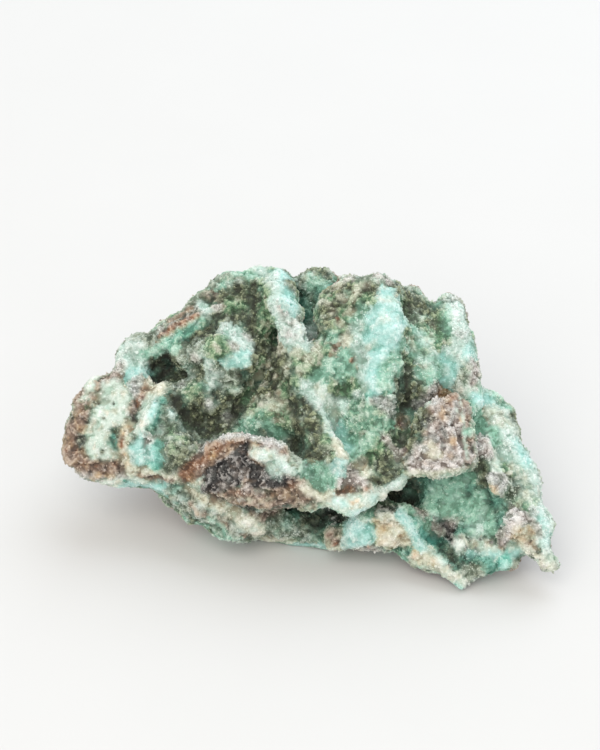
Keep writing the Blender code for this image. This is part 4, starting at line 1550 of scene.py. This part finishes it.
@dataclass
class Coat:
    """Many grains of one kind, grown on the skin and joined in one mesh.

    Density names the finishes' field that says how thickly the grains grow. Size is a grain's
    radius in millimetres. Stretch, width and sink are its height, its breadth and how deep it stands
    in the skin, in radii. Lean is how far it tips off the slope, clump how much the grains gather,
    and pale how much lighter they are than the skin. None grow below the foot's first height in
    millimetres, and they thicken up to its second.
    """

    name: str
    shape: Callable[[], bmesh.types.BMesh]
    density: str
    material: GrainMaterial
    seed: int
    count: int
    size: Span
    stretch: Span
    sink: float
    lean: float
    clump: float = 0.5
    pale: float = 0.0
    smooth: bool = False
    width: Span = (0.65, 1.25)
    foot: Span = (0.5, 1.6)
    least_chance: float = 1e-6
    hollow_share: float = 0.2
    clump_size: float = 2.6
    clump_rise: Span = (-0.1, 0.4)
    tone_size: float = 2.4
    tone_swell: float = 0.5
    tone_jitter: float = 0.2
    tone_spread: Span = (0.93, 1.07)
    # Grains on tops turn paler, partly as painted highlight, and grains in hollows take painted shade
    pale_rise: Span = (0.5, 1.05)
    pale_share: float = 0.85
    hollow_shade_rise: Span = (0.35, 0.0)
    hollow_shade_share: float = 0.8

    def build(self, skin: Skin) -> None:
        """Grows the grains.

        Args:
            skin: The finished skin.
        """
        draw = np.random.default_rng(self.seed)
        chosen = self._sites(skin, draw)
        form = self.shape()
        form.verts.ensure_lookup_table()
        corners = np.array([vert.co[:] for vert in form.verts])
        faces = np.array([[vert.index for vert in face.verts] for face in form.faces])
        form.free()
        turned = self._turned(corners, skin, chosen, draw)
        step = (np.arange(len(chosen)) * len(corners))[:, None, None]
        joined = (faces[None] + step).reshape(-1, 3)
        mesh = bpy.data.meshes.new(self.name)
        mesh.from_pydata((turned.reshape(-1, 3) * MM).tolist(), [], joined.tolist())
        if self.smooth:
            mesh.shade_smooth()
        paint(mesh, "tone", np.repeat(self._tones(skin, chosen, draw), len(corners), axis=0))
        mesh.materials.append(self.material.make())
        place(self.name, mesh)

    def _sites(self, skin: Skin, draw: np.random.Generator) -> Array:
        """Chooses the skin's points that a grain grows on.

        Args:
            skin: The finished skin.
            draw: The coat's random numbers.

        Returns:
            Indices of the chosen points.
        """
        clumps = ramp(cloudy(skin.points, self.clump_size, shift=self.seed), *self.clump_rise)
        chance = skin.blend(self.density) * (1.0 - self.clump + self.clump * clumps)
        chance = chance * (self.hollow_share + skin.relief) * ramp(skin.points[:, 2], *self.foot)
        keys = draw.random(len(chance)) ** (1.0 / np.maximum(chance, self.least_chance))
        return np.argsort(-keys)[: self.count]

    def _turned(self, corners: Array, skin: Skin, chosen: Array, draw: np.random.Generator) -> Array:
        """Sizes, turns and places one copy of the shape at each site.

        Args:
            corners: The shape's points.
            skin: The finished skin.
            chosen: Indices of the sites.
            draw: The coat's random numbers.

        Returns:
            The copies' points in millimetres: site, point, axis.
        """
        total = len(chosen)
        up = skin.normals[chosen] + self.lean * draw.normal(size=(total, 3))
        up /= np.linalg.norm(up, axis=1, keepdims=True)
        side = np.cross(up, draw.normal(size=(total, 3)))
        side /= np.linalg.norm(side, axis=1, keepdims=True)
        other = np.cross(up, side)
        size = between(self.size, draw.random(total) ** 2)
        wide = size * between(self.width, draw.random(total))
        tall = size * between(self.stretch, draw.random(total))
        axes = np.stack([wide[:, None] * side, size[:, None] * other, tall[:, None] * up], axis=1)
        foot = skin.points[chosen] - (self.sink * size)[:, None] * skin.normals[chosen]
        return corners @ axes + foot[:, None]

    def _tones(self, skin: Skin, chosen: Array, draw: np.random.Generator) -> Array:
        """Gives each grain its own colour from the crust that it grows on.

        Args:
            skin: The finished skin.
            chosen: Indices of the sites.
            draw: The coat's random numbers.

        Returns:
            Linear light, one row a grain.
        """
        shares = skin.shares[chosen]
        blend = skin.painter.blend
        swell = self.tone_swell * cloudy(skin.points[chosen], self.tone_size, shift=40.0)
        jitter = self.tone_jitter * (draw.random(len(chosen)) - 0.5)
        height = skin.relief[chosen] + swell + jitter + self.pale
        # Paler grains on tops, partly painted highlight, and painted shade for grains in hollows
        pale = self.pale_share * ramp(height, *self.pale_rise)[:, None]
        hollow_shade = self.hollow_shade_share * ramp(height, *self.hollow_shade_rise)[:, None]
        tones = blend(shares, "ground") * (1.0 - pale) + blend(shares, "fleck") * pale
        tones = tones * (1.0 - hollow_shade) + blend(shares, "shade") * hollow_shade
        return np.clip(tones * between(self.tone_spread, draw.random((len(chosen), 1))), 0.0, 1.0)


@dataclass(frozen=True)
class Lamp:
    """A soft square light that faces the stone. Its power is in watts, its side and place in metres."""

    name: str
    power: float
    side: float
    place: tuple[float, float, float]
    colour: Colour

    def build(self) -> None:
        """Hangs the light."""
        lamp = bpy.data.lights.new(self.name, "AREA")
        lamp.energy = self.power
        lamp.size = self.side
        lamp.color = tuple(linear(self.colour))
        light = bpy.data.objects.new(self.name, lamp)
        light.location = self.place
        light.rotation_euler = (-Vector(self.place)).to_track_quat("-Z", "Y").to_euler()
        bpy.context.scene.collection.objects.link(light)


@dataclass(frozen=True)
class Studio:
    """Plain floor, soft light and the camera. The floor's side is in metres, its swells in mm."""

    sight: Sight
    floor: float = 2.4
    paper: Tone = (0.628, 0.626, 0.63, 1.0)
    paper_light: Tone = (0.643, 0.641, 0.645, 1.0)
    paper_swell: float = 30.0
    paper_roughness: float = 0.8
    paper_shine: float = 0.2
    sky: Tone = (1.0, 0.976, 0.93, 1.0)
    sky_strength: float = 0.84

    def build(self) -> None:
        """Sets the floor, the lights, the sky and the camera."""
        self._floor()
        for lamp in LAMPS:
            lamp.build()
        self._sky()
        self._camera()
        bpy.context.scene.view_settings.view_transform = "Standard"

    def _floor(self) -> None:
        """Lays a pale floor far past the view."""
        form = bmesh.new()
        bmesh.ops.create_grid(form, x_segments=1, y_segments=1, size=self.floor / 2)
        mesh = bpy.data.meshes.new("floor")
        form.to_mesh(mesh)
        form.free()
        floor = bpy.data.objects.new("floor", mesh)
        bpy.context.scene.collection.objects.link(floor)
        nodes = Nodes("floor_paper")
        tone = nodes.mix(nodes.noise(self.paper_swell), self.paper, self.paper_light)
        nodes.feed(Base_Color=tone, Roughness=self.paper_roughness, Specular_IOR_Level=self.paper_shine)
        mesh.materials.append(nodes.material)

    def _sky(self) -> None:
        """Lights the sky."""
        world = bpy.data.worlds.new("sky")
        world.use_nodes = True
        sky = world.node_tree.nodes["Background"]
        sky.inputs["Color"].default_value = self.sky
        sky.inputs["Strength"].default_value = self.sky_strength
        bpy.context.scene.world = world

    def _camera(self) -> None:
        """Sets the camera at the photo's angle."""
        lens = bpy.data.cameras.new("camera")
        lens.lens = self.sight.lens
        camera = bpy.data.objects.new("camera", lens)
        camera.location = self.sight.eye * MM
        camera.rotation_euler = (-self.sight.back).to_track_quat("-Z", "Y").to_euler()
        bpy.context.scene.collection.objects.link(camera)
        bpy.context.scene.camera = camera


COATS = (
    Coat("malachite_nubs", nub_shape, "nubs", GrainMaterial("malachite_nub", roughness=0.6), seed=101,
         count=9800, size=(0.16, 0.38), stretch=(0.5, 0.9), sink=0.4, lean=0.35, smooth=True),
    Coat("crust_sugar", sugar_shape, "sugar",
         GrainMaterial("crust_crystal", roughness=0.45, scatter=0.25), seed=404, count=24500,
         size=(0.1, 0.28), stretch=(0.5, 1.0), sink=0.25, lean=0.6, clump=0.8, pale=0.15),
    Coat("quartz_points", point_shape, "points",
         GrainMaterial("quartz_point", roughness=0.25, scatter=0.2, clear=0.3), seed=202, count=5000,
         size=(0.12, 0.28), stretch=(0.6, 1.2), sink=0.1, lean=0.55, pale=0.25),
    Coat("rock_crumbs", crumb_shape, "crumbs",
         GrainMaterial("rock_crumb", roughness=0.6, scatter=0.0), seed=303, count=12000,
         size=(0.1, 0.26), stretch=(0.4, 0.9), sink=0.5, lean=0.8),
    Coat("frost_splinters", sugar_shape, "sugar",
         GrainMaterial("frost_splinter", roughness=0.4, scatter=0.3), seed=505, count=16000,
         size=(0.1, 0.2), stretch=(1.1, 1.9), sink=0.3, lean=0.8, clump=0.9, pale=0.25),
)
LAMPS = (
    Lamp("key_light", 5.5, 0.9, (0.3, 0.45, 0.8), (232, 245, 255)),
    Lamp("front_fill", 8.5, 1.0, (-0.3, -0.75, 0.95), (255, 251, 243)),
)


def main() -> None:
    """Builds the dressed stone."""
    logging.basicConfig(level=logging.INFO, format="%(message)s")
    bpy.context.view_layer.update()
    sight = Sight()
    skin = Skin(sight)
    skin.build(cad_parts[NODE])
    skin.dress()
    log.info("stone_skin: %d faces", len(skin.skin.data.polygons))
    for coat in COATS:
        coat.build(skin)
    Studio(sight).build()


if __name__ == "__main__":
    main()
